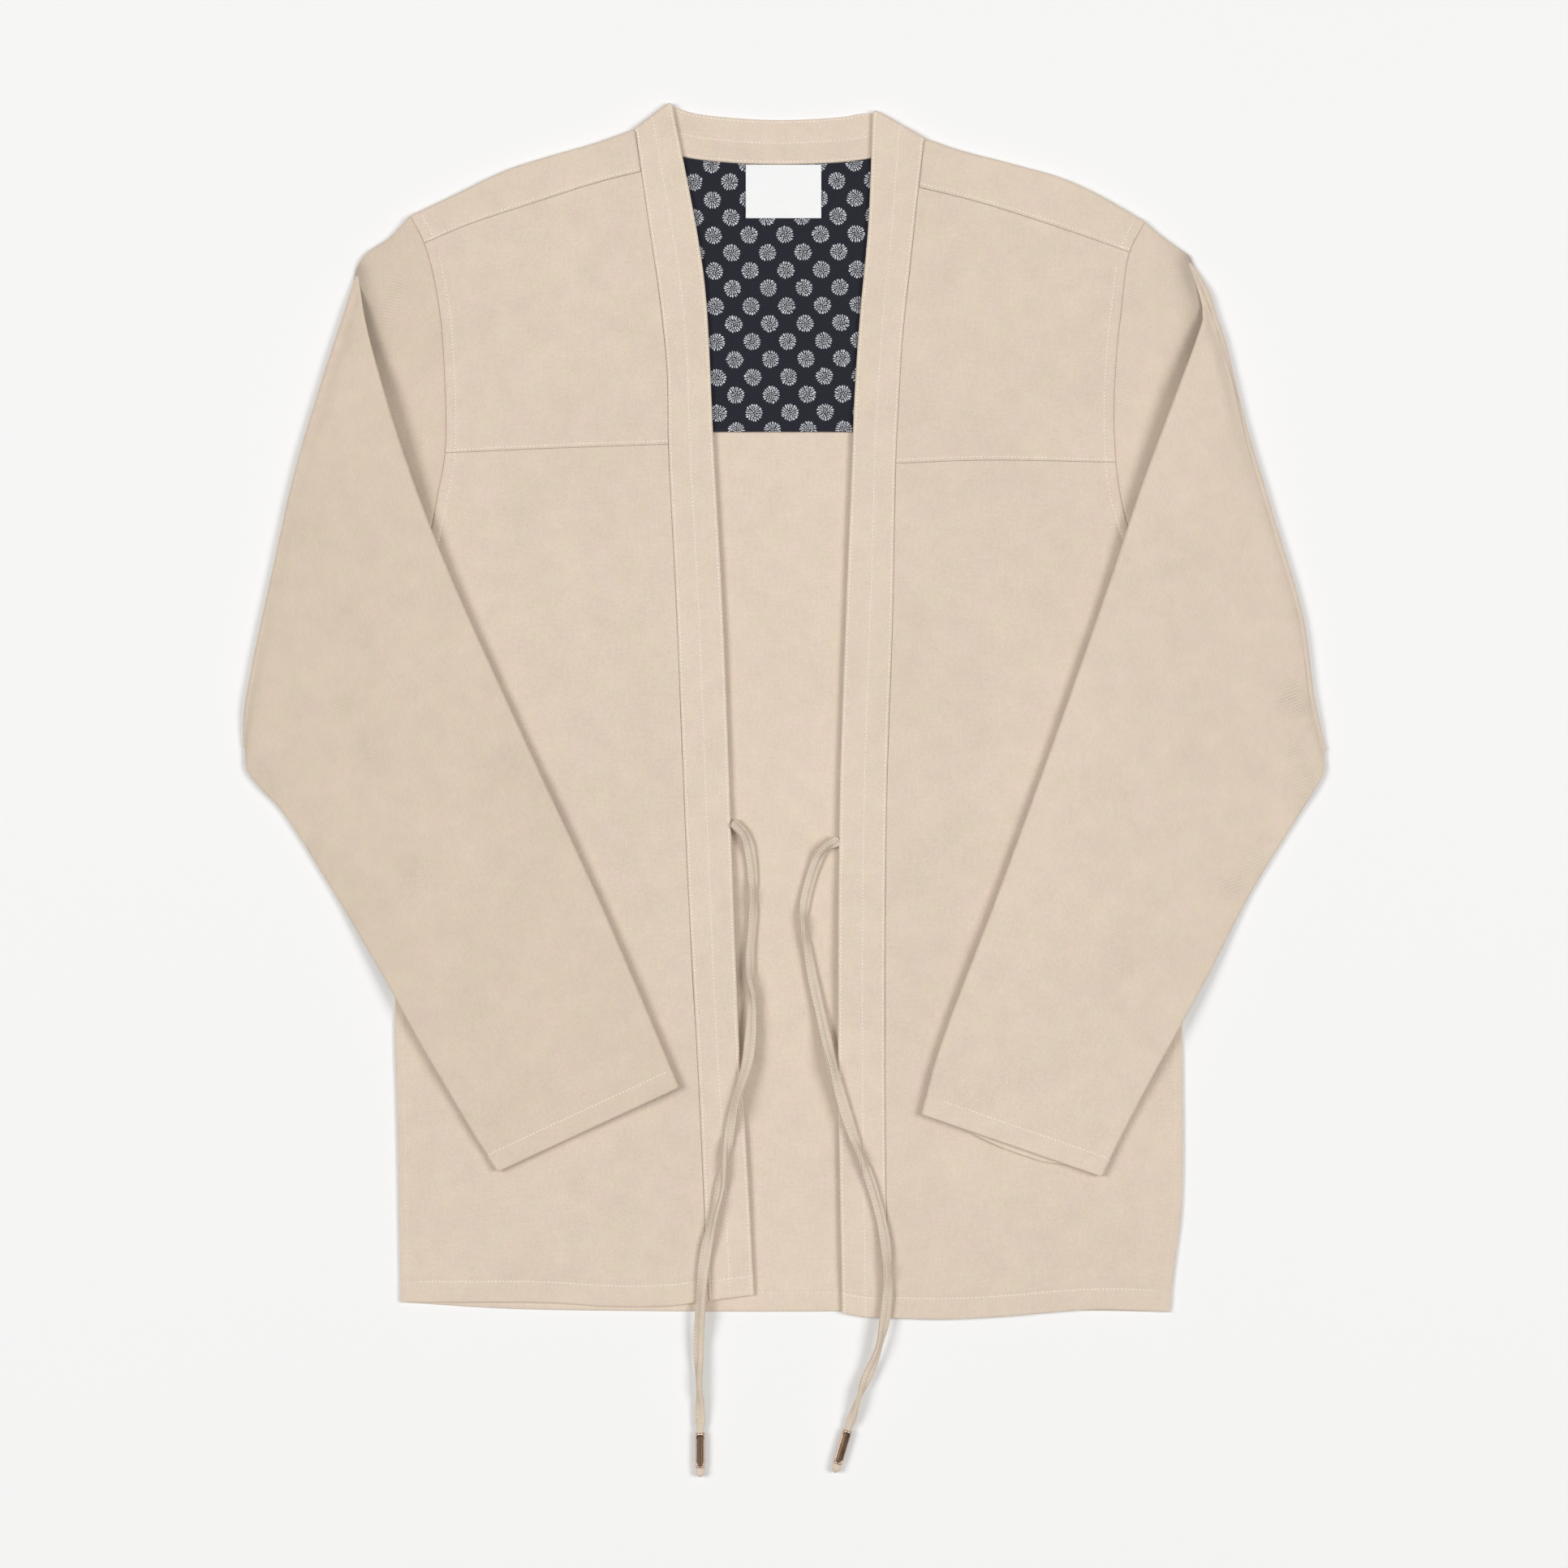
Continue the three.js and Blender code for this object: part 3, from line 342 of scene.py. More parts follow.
def ring_faces(idx):
    """Faces of a tube whose rings are the rows of idx."""
    beside = np.roll(idx, -1, axis=1)
    return np.stack([idx[:-1], beside[:-1], beside[1:], idx[1:]], -1).reshape(-1, 4)


class Cloth:
    """Grids of a centre surface that share points, grown to a closed wall."""

    def __init__(self):
        self.parts = []

    def grid(self, P, uv, half, relief=0.0, under=0.0, rub_and_shade=0.0):
        values = [np.broadcast_to(np.asarray(x, float), P.shape[:2]) for x in (half, relief, under, rub_and_shade)]
        self.parts.append([P, uv] + values)
        return len(self.parts) - 1

    def wall(self, name, material, up):
        """`up` is the grid, row and column of a point whose outer side faces up."""
        flat = [np.concatenate([p[i].reshape((-1,) + p[i].shape[2:]) for p in self.parts]) for i in range(6)]
        P, uv, half, relief, under, rub_and_shade = flat
        # points that round to the same 1/300 mm are one
        place = np.round(P * 300).astype(np.int64)
        _, first, inverse = np.unique(place, axis=0, return_index=True, return_inverse=True)
        inverse = inverse.reshape(-1)
        faces, start, maps = [], 0, []
        for p in self.parts:
            m, k = p[0].shape[:2]
            idx = start + np.arange(m * k).reshape(m, k)
            maps.append(idx)
            faces.append(grid_faces(idx))
            start += m * k
        corner = np.concatenate(faces)
        quad = inverse[corner]
        keep = np.array([len(set(q)) == 4 for q in quad.tolist()])
        corner, quad = corner[keep], quad[keep]
        pts = P[first]
        n = len(pts)

        def normals_of(q):
            cross = np.cross(pts[q[:, 2]] - pts[q[:, 0]], pts[q[:, 3]] - pts[q[:, 1]])
            N = np.zeros((n, 3))
            for c in range(4):
                np.add.at(N, q[:, c], cross)
            return unit(N)
        N = normals_of(quad)
        g, i, j = up
        if N[inverse[maps[g][i, j]]][2] < 0:
            quad, corner, N = quad[:, ::-1], corner[:, ::-1], -N
        outer = pts + N * (half + relief)[first][:, None]
        inner = pts - N * (half + under)[first][:, None]
        uvq = uv[corner]
        a, b = quad, np.roll(quad, -1, axis=1)
        loose = ~np.isin(a * n + b, b * n + a)
        ea, eb, ua, ub = a[loose], b[loose], uvq[loose], np.roll(uvq, -1, axis=1)[loose]
        walls = np.stack([eb, ea, ea + n, eb + n], -1)
        all_faces = np.concatenate([quad, quad[:, ::-1] + n, walls])
        all_uv = np.concatenate([uvq, uvq[:, ::-1], np.stack([ub, ua, ua, ub], 1)])
        obj = solid(name, np.concatenate([outer, inner]), all_faces, material, all_uv,
                    np.tile(rub_and_shade[first], 2))

        def on_grid(values, idx):
            return values[inverse[idx.reshape(-1)]].reshape(idx.shape + (3,))
        sides = dict(outer=outer, inner=inner, normal=N)
        return obj, [{key: on_grid(values, m) for key, values in sides.items()} for m in maps]


def solid(name, verts, faces, material, uv=None, rub_and_shade=None):
    mesh = bpy.data.meshes.new(name)
    verts = np.asarray(verts) * MM
    faces = np.asarray(faces)
    k = faces.shape[1]
    mesh.vertices.add(len(verts))
    mesh.vertices.foreach_set("co", verts.astype(np.float32).ravel())
    mesh.loops.add(faces.size)
    mesh.loops.foreach_set("vertex_index", faces.astype(np.int32).ravel())
    mesh.polygons.add(len(faces))
    mesh.polygons.foreach_set("loop_start", np.arange(0, faces.size, k, dtype=np.int32))
    mesh.polygons.foreach_set("use_smooth", np.full(len(faces), True))
    if uv is not None:
        layer = mesh.uv_layers.new(name="cloth_uv")
        layer.data.foreach_set("uv", (np.asarray(uv) * MM).astype(np.float32).ravel())
    if rub_and_shade is not None:
        mesh.attributes.new("rub_and_shade", "FLOAT", "POINT").data.foreach_set("value", rub_and_shade.astype(np.float32))
    mesh.materials.append(material)
    mesh.update(calc_edges=True)
    mesh.validate()
    obj = bpy.data.objects.new(name, mesh)
    bpy.context.collection.objects.link(obj)
    return obj


def plan_uv(P):
    return P[..., :2].copy()


def contour(S, D, at, axis, key="outer", start=0.0, end=1.0):
    """Points and normals of a surface where the distance D is `at`, one for each row or column."""
    G, N, sign = S[key], S["normal"], 1 if key == "outer" else -1
    if axis == 0:
        G, N, D = np.swapaxes(G, 0, 1), np.swapaxes(N, 0, 1), D.T
    rows = range(int(start * (len(G) - 1)), int(round(end * (len(G) - 1))) + 1)
    points, normals = [], []
    for i in rows:
        order = np.argsort(D[i])
        d = D[i][order]
        if not d[0] <= at <= d[-1]:
            continue
        points.append([np.interp(at, d, G[i][order, c]) for c in range(3)])
        normals.append([np.interp(at, d, N[i][order, c]) for c in range(3)])
    return np.array(points), sign * np.array(normals)


class Thread:
    """Real stitches, one short buried capsule for each."""
    # rings of a capsule: place along it, radius, height
    SHAPE = [(-1, 0, -0.34), (-0.72, 0.75, -0.08), (-0.25, 1, 0.1),
             (0.25, 1, 0.1), (0.72, 0.75, -0.08), (1, 0, -0.34)]
    SIDES = 6

    def __init__(self, seed):
        self.verts, self.faces, self.count = [], [], 0
        self.rng = np.random.RandomState(seed)

    def sew(self, line, length=1.62, wide=0.4, tall=0.3, pitch=PITCH, turn=0.16):
        P, N = line
        if len(P) < 2:
            return
        s = lengths_along(P)
        if s[-1] < pitch:
            return
        n = int(s[-1] / pitch)
        at = (np.arange(n) + 0.5) * s[-1] / n

        def get(V, f):
            return np.stack([np.interp(f, s, V[:, c]) for c in range(3)], -1)
        mid, nor = get(P, at), unit(get(N, at))
        tan = unit(get(P, at + 0.6) - get(P, at - 0.6))
        side = unit(np.cross(nor, tan))
        angle = turn + self.rng.normal(0, 0.05, n)
        tan, side = (tan * np.cos(angle)[:, None] + side * np.sin(angle)[:, None],
                     side * np.cos(angle)[:, None] - tan * np.sin(angle)[:, None])
        mid = mid + side * self.rng.normal(0, 0.05, n)[:, None]
        size = length / 2 * (1 + self.rng.normal(0, 0.05, n))
        sides = self.SIDES
        rings = []
        for t, r, z in self.SHAPE:
            c = mid + tan * (t * size)[:, None] + nor * z
            for k in range(1 if r == 0 else sides):
                a = 2 * math.pi * k / sides
                rings.append(c + side * (r * wide * math.cos(a)) + nor * (r * tall * math.sin(a)))
        V = np.stack(rings, 1)
        m = V.shape[1]
        F = []
        for k in range(sides):
            j = (k + 1) % sides
            F.append((0, 1 + k, 1 + j, 0))
            for ring in range(3):
                o = 1 + ring * sides
                F.append((o + k, o + sides + k, o + sides + j, o + j))
            F.append((1 + 3 * sides + k, m - 1, m - 1, 1 + 3 * sides + j))
        F = np.array(F)
        base = self.count + np.arange(n)[:, None, None] * m
        self.faces.append((F[None] + base).reshape(-1, 4))
        self.verts.append(V.reshape(-1, 3))
        self.count += n * m

    def tack(self, P, N, length=4.2):
        """A short bar of close stitches over the middle of a row."""
        up = unit(N[len(N) // 2])
        along = unit(P[-1] - P[0])
        centre = P[len(P) // 2] - np.cross(up, along) * 0.4
        line = centre + along * np.linspace(-length / 2, length / 2, 12)[:, None] + up * 0.06
        self.sew((line, np.tile(up, (12, 1))), length=1.7, wide=0.26, tall=0.24, pitch=0.42, turn=1.42)

    def make(self, name, material):
        V, F = np.concatenate(self.verts), np.concatenate(self.faces)
        mesh = bpy.data.meshes.new(name)
        faces = [tuple(dict.fromkeys(f)) for f in F.tolist()]
        mesh.from_pydata((V * MM).tolist(), [], faces)
        mesh.polygons.foreach_set("use_smooth", np.full(len(mesh.polygons), True))
        mesh.materials.append(material)
        mesh.validate()
        obj = bpy.data.objects.new(name, mesh)
        bpy.context.collection.objects.link(obj)
        return obj


# ---- materials --------------------------------------------------------------------------------
def srgb(r, g, b):
    """The linear colour of an sRGB one given in steps of 0 to 255."""
    def linear(c):
        return c / 12.92 if c <= 0.04045 else ((c + 0.055) / 1.055) ** 2.4
    return tuple(linear(c / 255) for c in (r, g, b)) + (1.0,)


def shade(colour, factor):
    return tuple(min(1, c * factor) for c in colour[:3]) + (1,)


class Ex:
    """A node socket that can be added, multiplied and so on."""

    def __init__(self, tree, out):
        self.tree, self.out = tree, out

    def op(self, kind, *rest):
        node = self.tree.nodes.new("ShaderNodeMath")
        node.operation = kind
        for i, x in enumerate((self,) + rest):
            if isinstance(x, Ex):
                self.tree.links.new(x.out, node.inputs[i])
            else:
                node.inputs[i].default_value = x
        return Ex(self.tree, node.outputs[0])

    def __add__(self, o):
        return self.op("ADD", o)

    def __sub__(self, o):
        return self.op("SUBTRACT", o)

    def __mul__(self, o):
        return self.op("MULTIPLY", o)

    def __truediv__(self, o):
        return self.op("DIVIDE", o)

    def sin(self):
        return self.op("SINE")

    def fract(self):
        return self.op("FRACT")

    def floor(self):
        return self.op("FLOOR")

    def sq(self):
        return self.op("MULTIPLY", self)

    def max(self, o):
        return self.op("MAXIMUM", o)

    def clamp(self):
        return self.op("MAXIMUM", 0.0).op("MINIMUM", 1.0)


class Shader:
    """A principled material and the nodes that lead into it."""

    def __init__(self, name, **sockets):
        self.mat = bpy.data.materials.new(name)
        self.mat.use_nodes = True
        self.tree = self.mat.node_tree
        self.bsdf = self.tree.nodes["Principled BSDF"]
        for key, value in sockets.items():
            self.bsdf.inputs[key.replace("_", " ")].default_value = value

    def node(self, kind, **values):
        node = self.tree.nodes.new(kind)
        for key, value in values.items():
            node.inputs[key.replace("_", " ")].default_value = value
        return node

    def uv(self):
        node = self.tree.nodes.new("ShaderNodeUVMap")
        node.uv_map = "cloth_uv"
        split = self.node("ShaderNodeSeparateXYZ")
        self.tree.links.new(node.outputs[0], split.inputs[0])
        return Ex(self.tree, split.outputs[0]), Ex(self.tree, split.outputs[1])

    def vector(self, x, y, z=0.0):
        node = self.node("ShaderNodeCombineXYZ")
        for i, v in enumerate((x, y, z)):
            if isinstance(v, Ex):
                self.tree.links.new(v.out, node.inputs[i])
            else:
                node.inputs[i].default_value = v
        return node.outputs[0]

    def noise(self, vector, scale, detail=2.0, rough=0.5):
        node = self.node("ShaderNodeTexNoise", Scale=scale, Detail=detail, Roughness=rough)
        self.tree.links.new(vector, node.inputs["Vector"])
        return Ex(self.tree, node.outputs[0]) - 0.5

    def white(self, vector):
        node = self.node("ShaderNodeTexWhiteNoise")
        self.tree.links.new(vector, node.inputs["Vector"])
        return Ex(self.tree, node.outputs[0])

    def place(self):
        node = self.tree.nodes.new("ShaderNodeTexCoord")
        return node.outputs["Object"]

    def attribute(self, name):
        node = self.tree.nodes.new("ShaderNodeAttribute")
        node.attribute_name = name
        return Ex(self.tree, node.outputs["Fac"])

    def blend(self, fac, a, b):
        node = self.tree.nodes.new("ShaderNodeMix")
        node.data_type = "RGBA"
        for socket, value in ((node.inputs[0], fac), (node.inputs[6], a), (node.inputs[7], b)):
            if isinstance(value, Ex):
                self.tree.links.new(value.out, socket)
            elif hasattr(value, "is_linked"):
                self.tree.links.new(value, socket)
            else:
                socket.default_value = value
        return node.outputs[2]

    def bump(self, height, distance, strength=1.0):
        node = self.node("ShaderNodeBump", Strength=strength, Distance=distance)
        self.tree.links.new(height.out, node.inputs["Height"])
        self.tree.links.new(node.outputs[0], self.bsdf.inputs["Normal"])

    def colour(self, socket):
        self.tree.links.new(socket, self.bsdf.inputs["Base Color"])
        return self.mat


HUE = 1.3                     # how far the dye drifts from olive to rose, in sRGB steps


def twill(name, rgb, lean=1.0, pitch=1.25):
    """Cotton twill: slanted ribs, crossing yarns, slubs and uneven dye, paler where the edges rub; painted
    highlight and shade on the ribs, painted shade in hollows, grooves and creases.
    """
    s = Shader(name, Roughness=0.93, Specular_IOR_Level=0.22, Sheen_Weight=0.18, Sheen_Roughness=0.5)
    u, v = s.uv()
    wobble = s.noise(s.vector(u, v), 210.0, 3.0, 0.6) * 4.2
    rib = ((u * (0.62 * lean) - v * 0.785) * (2 * math.pi / (pitch * MM)) + wobble).sin()
    cross = ((u * (0.7 * lean) + v * 0.71) * (2 * math.pi / (pitch * 1.15 * MM)) + wobble).sin()
    rib = rib * (cross * 0.45 + 0.75)
    yarn = ((u * 0.97 * lean + v * 0.2) * (2 * math.pi / (0.62 * MM))).sin()
    fine = s.noise(s.vector(u, v), 1400.0, 1.0)
    # patches where the ribs catch the light: their bump is stronger there, and the tone paints the ribs
    # lighter and darker there as painted highlight and shade
    catch = (s.noise(s.place(), 26.0, 2.0) * 7.0 - 0.3).clamp()
    height = rib * (catch * 0.42 + 0.2) + yarn * 0.16 + fine * 0.9
    s.bump(height, 0.00022, 0.55)
    slub = s.noise(s.vector(u * 900.0, v * 90.0), 1.0, 2.0, 0.6)
    weft = s.noise(s.vector(u * 80.0, v * 1000.0), 1.0, 2.0, 0.6)
    dye = s.noise(s.place(), 9.0, 2.0)
    blotch = s.noise(s.place(), 62.0, 2.0, 0.6)
    speck = s.noise(s.vector(u, v), 520.0, 2.0, 0.7)
    # the pieces' attribute makes rubbed edges paler and paints shade darker into hollows, grooves and
    # creases
    rub_and_shade = s.attribute("rub_and_shade")
    tone = (rib * (catch * 0.1 + 0.03) + slub * 0.2 + weft * 0.14 + dye * 0.16 + blotch * 0.24
            + speck * 0.34 + rub_and_shade * 0.35 + 0.5).clamp()
    shades = []
    for warm in (-HUE, HUE):
        dyed = srgb(rgb[0] + warm, rgb[1] - warm, rgb[2] + warm * 1.3)
        shades.append(s.blend(tone, shade(dyed, 0.72), shade(dyed, 1.28)))
    hue = (s.noise(s.place(), 75.0, 3.0, 0.65) * 3.0 + 0.5).clamp()
    return s.colour(s.blend(hue, *shades))


def plain(name, rgb, rough, size):
    """Plain weave whose yarns lie `size` mm apart."""
    s = Shader(name, Roughness=rough, Specular_IOR_Level=0.25, Sheen_Weight=0.1, Sheen_Roughness=0.5)
    u, v = s.uv()
    k = 2 * math.pi / (size * MM)
    weave = (u * k).sin() * (v * k).sin()
    grain = s.noise(s.vector(u, v), 900.0, 2.0)
    s.bump(weave * 0.5 + grain, 0.00012, 0.5)
    c = srgb(*rgb)
    tone = (grain * 0.8 + weave * 0.12 + 0.5).clamp()
    return s.colour(s.blend(tone, shade(c, 0.9), shade(c, 1.06)))


# Petal rings of the printed flower: count, centre radius, half length, half width, offset.
PETALS = [(20, 4.7, 0.95, 0.44, 0.0), (15, 3.25, 0.66, 0.38, 0.35), (10, 2.05, 0.55, 0.34, 0.1),
          (5, 0.9, 0.5, 0.28, 0.4)]
FLOWER = dict(across=22.9, down=22.8, y=305.7, lean=1.6, tilt=0.7)


def flowers(name):
    """Navy cotton printed with a half-drop repeat of round chrysanthemums."""
    s = Shader(name, Roughness=0.82, Specular_IOR_Level=0.25, Sheen_Weight=0.12, Sheen_Roughness=0.5)
    u, v = s.uv()
    lean, tilt = [math.sin(math.radians(FLOWER[k])) for k in ("lean", "tilt")]
    y0 = v - FLOWER["y"] * MM
    x, y = (u + y0 * lean) * 1000.0, (y0 - u * tilt) * 1000.0
    a, b = FLOWER["across"], FLOWER["down"]
    # p and q count the flowers along the two slants of the repeat
    p, q = x / a + y / b + 0.5, x / a - y / b + 0.5
    dp, dq = p.fract() - 0.5, q.fract() - 0.5
    lx, ly = (dp + dq) * (a / 2), (dp - dq) * (b / 2)
    turn = s.white(s.vector(p.floor(), q.floor()))
    rough = s.noise(s.vector(u, v), 700.0, 2.0)
    sway = s.noise(s.vector(u, v), 420.0, 1.0)
    r = (lx.sq() + ly.sq()).op("SQRT") + rough * 0.3
    angle = ly.op("ARCTAN2", lx) / (2 * math.pi) + turn + sway * 0.06
    print_on = None
    for count, centre, long, wide, offset in PETALS:
        around = angle * float(count) + offset
        # each petal differs a little
        own = s.white(s.vector(around.floor(), turn, float(count))) - 0.5
        across = (around.fract() - 0.5 + own * 0.16) * r * (2 * math.pi / count)
        shape = (across / (own * 0.12 + wide)).sq() + ((r - centre - own * 0.5) / long).sq()
        petal = ((shape * -1.0 + 1.0) * 3.5).clamp() * (own * 0.35 + 0.9)
        print_on = petal if print_on is None else print_on.max(petal)
    k = 2 * math.pi / (0.45 * MM)
    weave = (u * k).sin() * (v * k).sin()
    s.bump(weave * 0.5 + rough + print_on * 0.4, 0.0001, 0.5)
    cloth = s.blend((rough + weave * 0.15 + 0.5).clamp(), srgb(24, 24, 32), srgb(38, 40, 52))
    ink = s.blend((rough * 1.5 + 0.6).clamp(), srgb(186, 190, 198), srgb(236, 238, 242))
    return s.colour(s.blend((print_on * 0.94).clamp(), cloth, ink))


def brass(name, rgb, rough, metal=1.0):
    """Aged brass with a patina and fine scratches."""
    s = Shader(name, Metallic=metal)
    at = s.place()
    patina = s.noise(at, 420.0, 3.0, 0.6)
    scratch = s.noise(at, 2600.0, 2.0)
    s.bump(patina * 0.6 + scratch * 0.5, 0.00008, 0.4)
    value = (patina * 0.5 + rough).clamp()
    s.tree.links.new(value.out, s.bsdf.inputs["Roughness"])
    c = srgb(*rgb)
    return s.colour(s.blend((patina * 1.3 + 0.5).clamp(), shade(c, 0.62), c))


def thread_material(name, rgb):
    s = Shader(name, Roughness=0.7, Specular_IOR_Level=0.35, Sheen_Weight=0.25, Sheen_Roughness=0.4)
    n = s.noise(s.place(), 2400.0, 1.0)
    s.bump(n, 0.00006, 0.5)
    c = srgb(*rgb)
    return s.colour(s.blend((n + 0.5).clamp(), shade(c, 0.9), c))


# The one twill's tint differs a few steps from piece to piece; the differences are mostly painted light and
# shade.
MAT_CLOTH = twill("cotton_twill", (221, 204, 186))
MAT_INSIDE = twill("cotton_twill_inside", (224, 207, 189), lean=-1.0)
MAT_BAND = twill("cotton_twill_band", (224, 207, 189))
MAT_LINING = flowers("chrysanthemum_print")
MAT_LABEL = plain("label_satin", (254, 254, 255), 0.6, 0.35)
MAT_THREAD = thread_material("topstitch_thread", (254, 248, 236))
MAT_BRASS = brass("aged_brass", (232, 205, 184), 0.34)
MAT_RECESS = brass("aged_brass_recess", (112, 91, 74), 0.42, 0.9)

# ---- camera, floor and light ------------------------------------------------------------------
VIEW = dict(x=-0.5, y=-46.5, high=3000.0, width=1004.6)
FLOOR_Z = -0.35
# Round lamps that face the middle of the floor: name, place and width in metres, watts.
LAMPS = [("overhead", (0, 0.3, 5.5), 4.5, 42),
         ("left", (-4.5, 0.4, 5.45), 3.5, 259),
         ("right", (4.5, 0.2, 5.45), 3.5, 252)]
LAMP_COLOUR, SKY_COLOUR, SKY_LIGHT = (1, 0.992, 0.98), (0.97, 0.985, 1.0, 1), 0.15


def studio():
    scene = bpy.context.scene
    cam = bpy.data.cameras.new("camera")
    cam.sensor_width = 36
    cam.lens = 36 * (VIEW["high"] - 4) / VIEW["width"]
    cam.clip_start, cam.clip_end = 0.05, 50
    eye = bpy.data.objects.new("camera", cam)
    eye.location = (VIEW["x"] * MM, VIEW["y"] * MM, VIEW["high"] * MM)
    bpy.context.collection.objects.link(eye)
    scene.camera = eye

    s = Shader("floor_paper", Roughness=0.9, Specular_IOR_Level=0.1)
    tone = (s.noise(s.place(), 3.0, 1.0) * 0.4 + 0.5).clamp()
    s.colour(s.blend(tone, (0.9, 0.901, 0.903, 1), (0.912, 0.913, 0.915, 1)))
    size, n = 7000, 8
    g = np.linspace(-size, size, n + 1)
    X, Y = np.meshgrid(g, g)
    P = np.stack([X, Y, np.full_like(X, FLOOR_Z)], -1).reshape(-1, 3)
    idx = np.arange((n + 1) ** 2).reshape(n + 1, n + 1)
    solid("floor", P, grid_faces(idx), s.mat)

    world = bpy.data.worlds.new("studio")
    world.use_nodes = True
    sky = world.node_tree.nodes["Background"].inputs
    sky[0].default_value = SKY_COLOUR
    sky[1].default_value = SKY_LIGHT
    scene.world = world
    for name, at, across, watts in LAMPS:
        light = bpy.data.lights.new(name, "AREA")
        light.shape, light.size, light.energy, light.color = "DISK", across, watts, LAMP_COLOUR
        lamp = bpy.data.objects.new(name, light)
        lamp.location = at
        x, y, z = at
        lamp.rotation_euler = (math.atan2(math.hypot(x, y), z), 0, math.atan2(y, x) + math.pi / 2)
        bpy.context.collection.objects.link(lamp)
    scene.view_settings.view_transform = "Standard"
    scene.view_settings.look = "None"


studio()


# ---- straps and aglets ------------------------------------------------------------------------
STRAP = dict(half_width=3.45, half_height=1.25, in_aglet=1.95, sides=72, row=0.62, root=3.0, round_tip=2.9)
PLATE = dict(half_width=3.05, from_end=1.1, corner=2.4)


def cord_line(name):
    """The strap's centre line, from its end sewn into the band's edge to its tip past the aglet."""
    a, b = [np.array(p, float) for p in AGLET_AXIS[name]]
    along = unit(b - a)
    first, second = np.array(STRAPS[name][:2])
    root = first + unit(first - second) * STRAP["root"]
    at_aglet = [a - along * 5, a - along * 0.5, b, b + along * TAIL]
    return Line([tuple(root)] + STRAPS[name] + [tuple(p) for p in at_aglet])


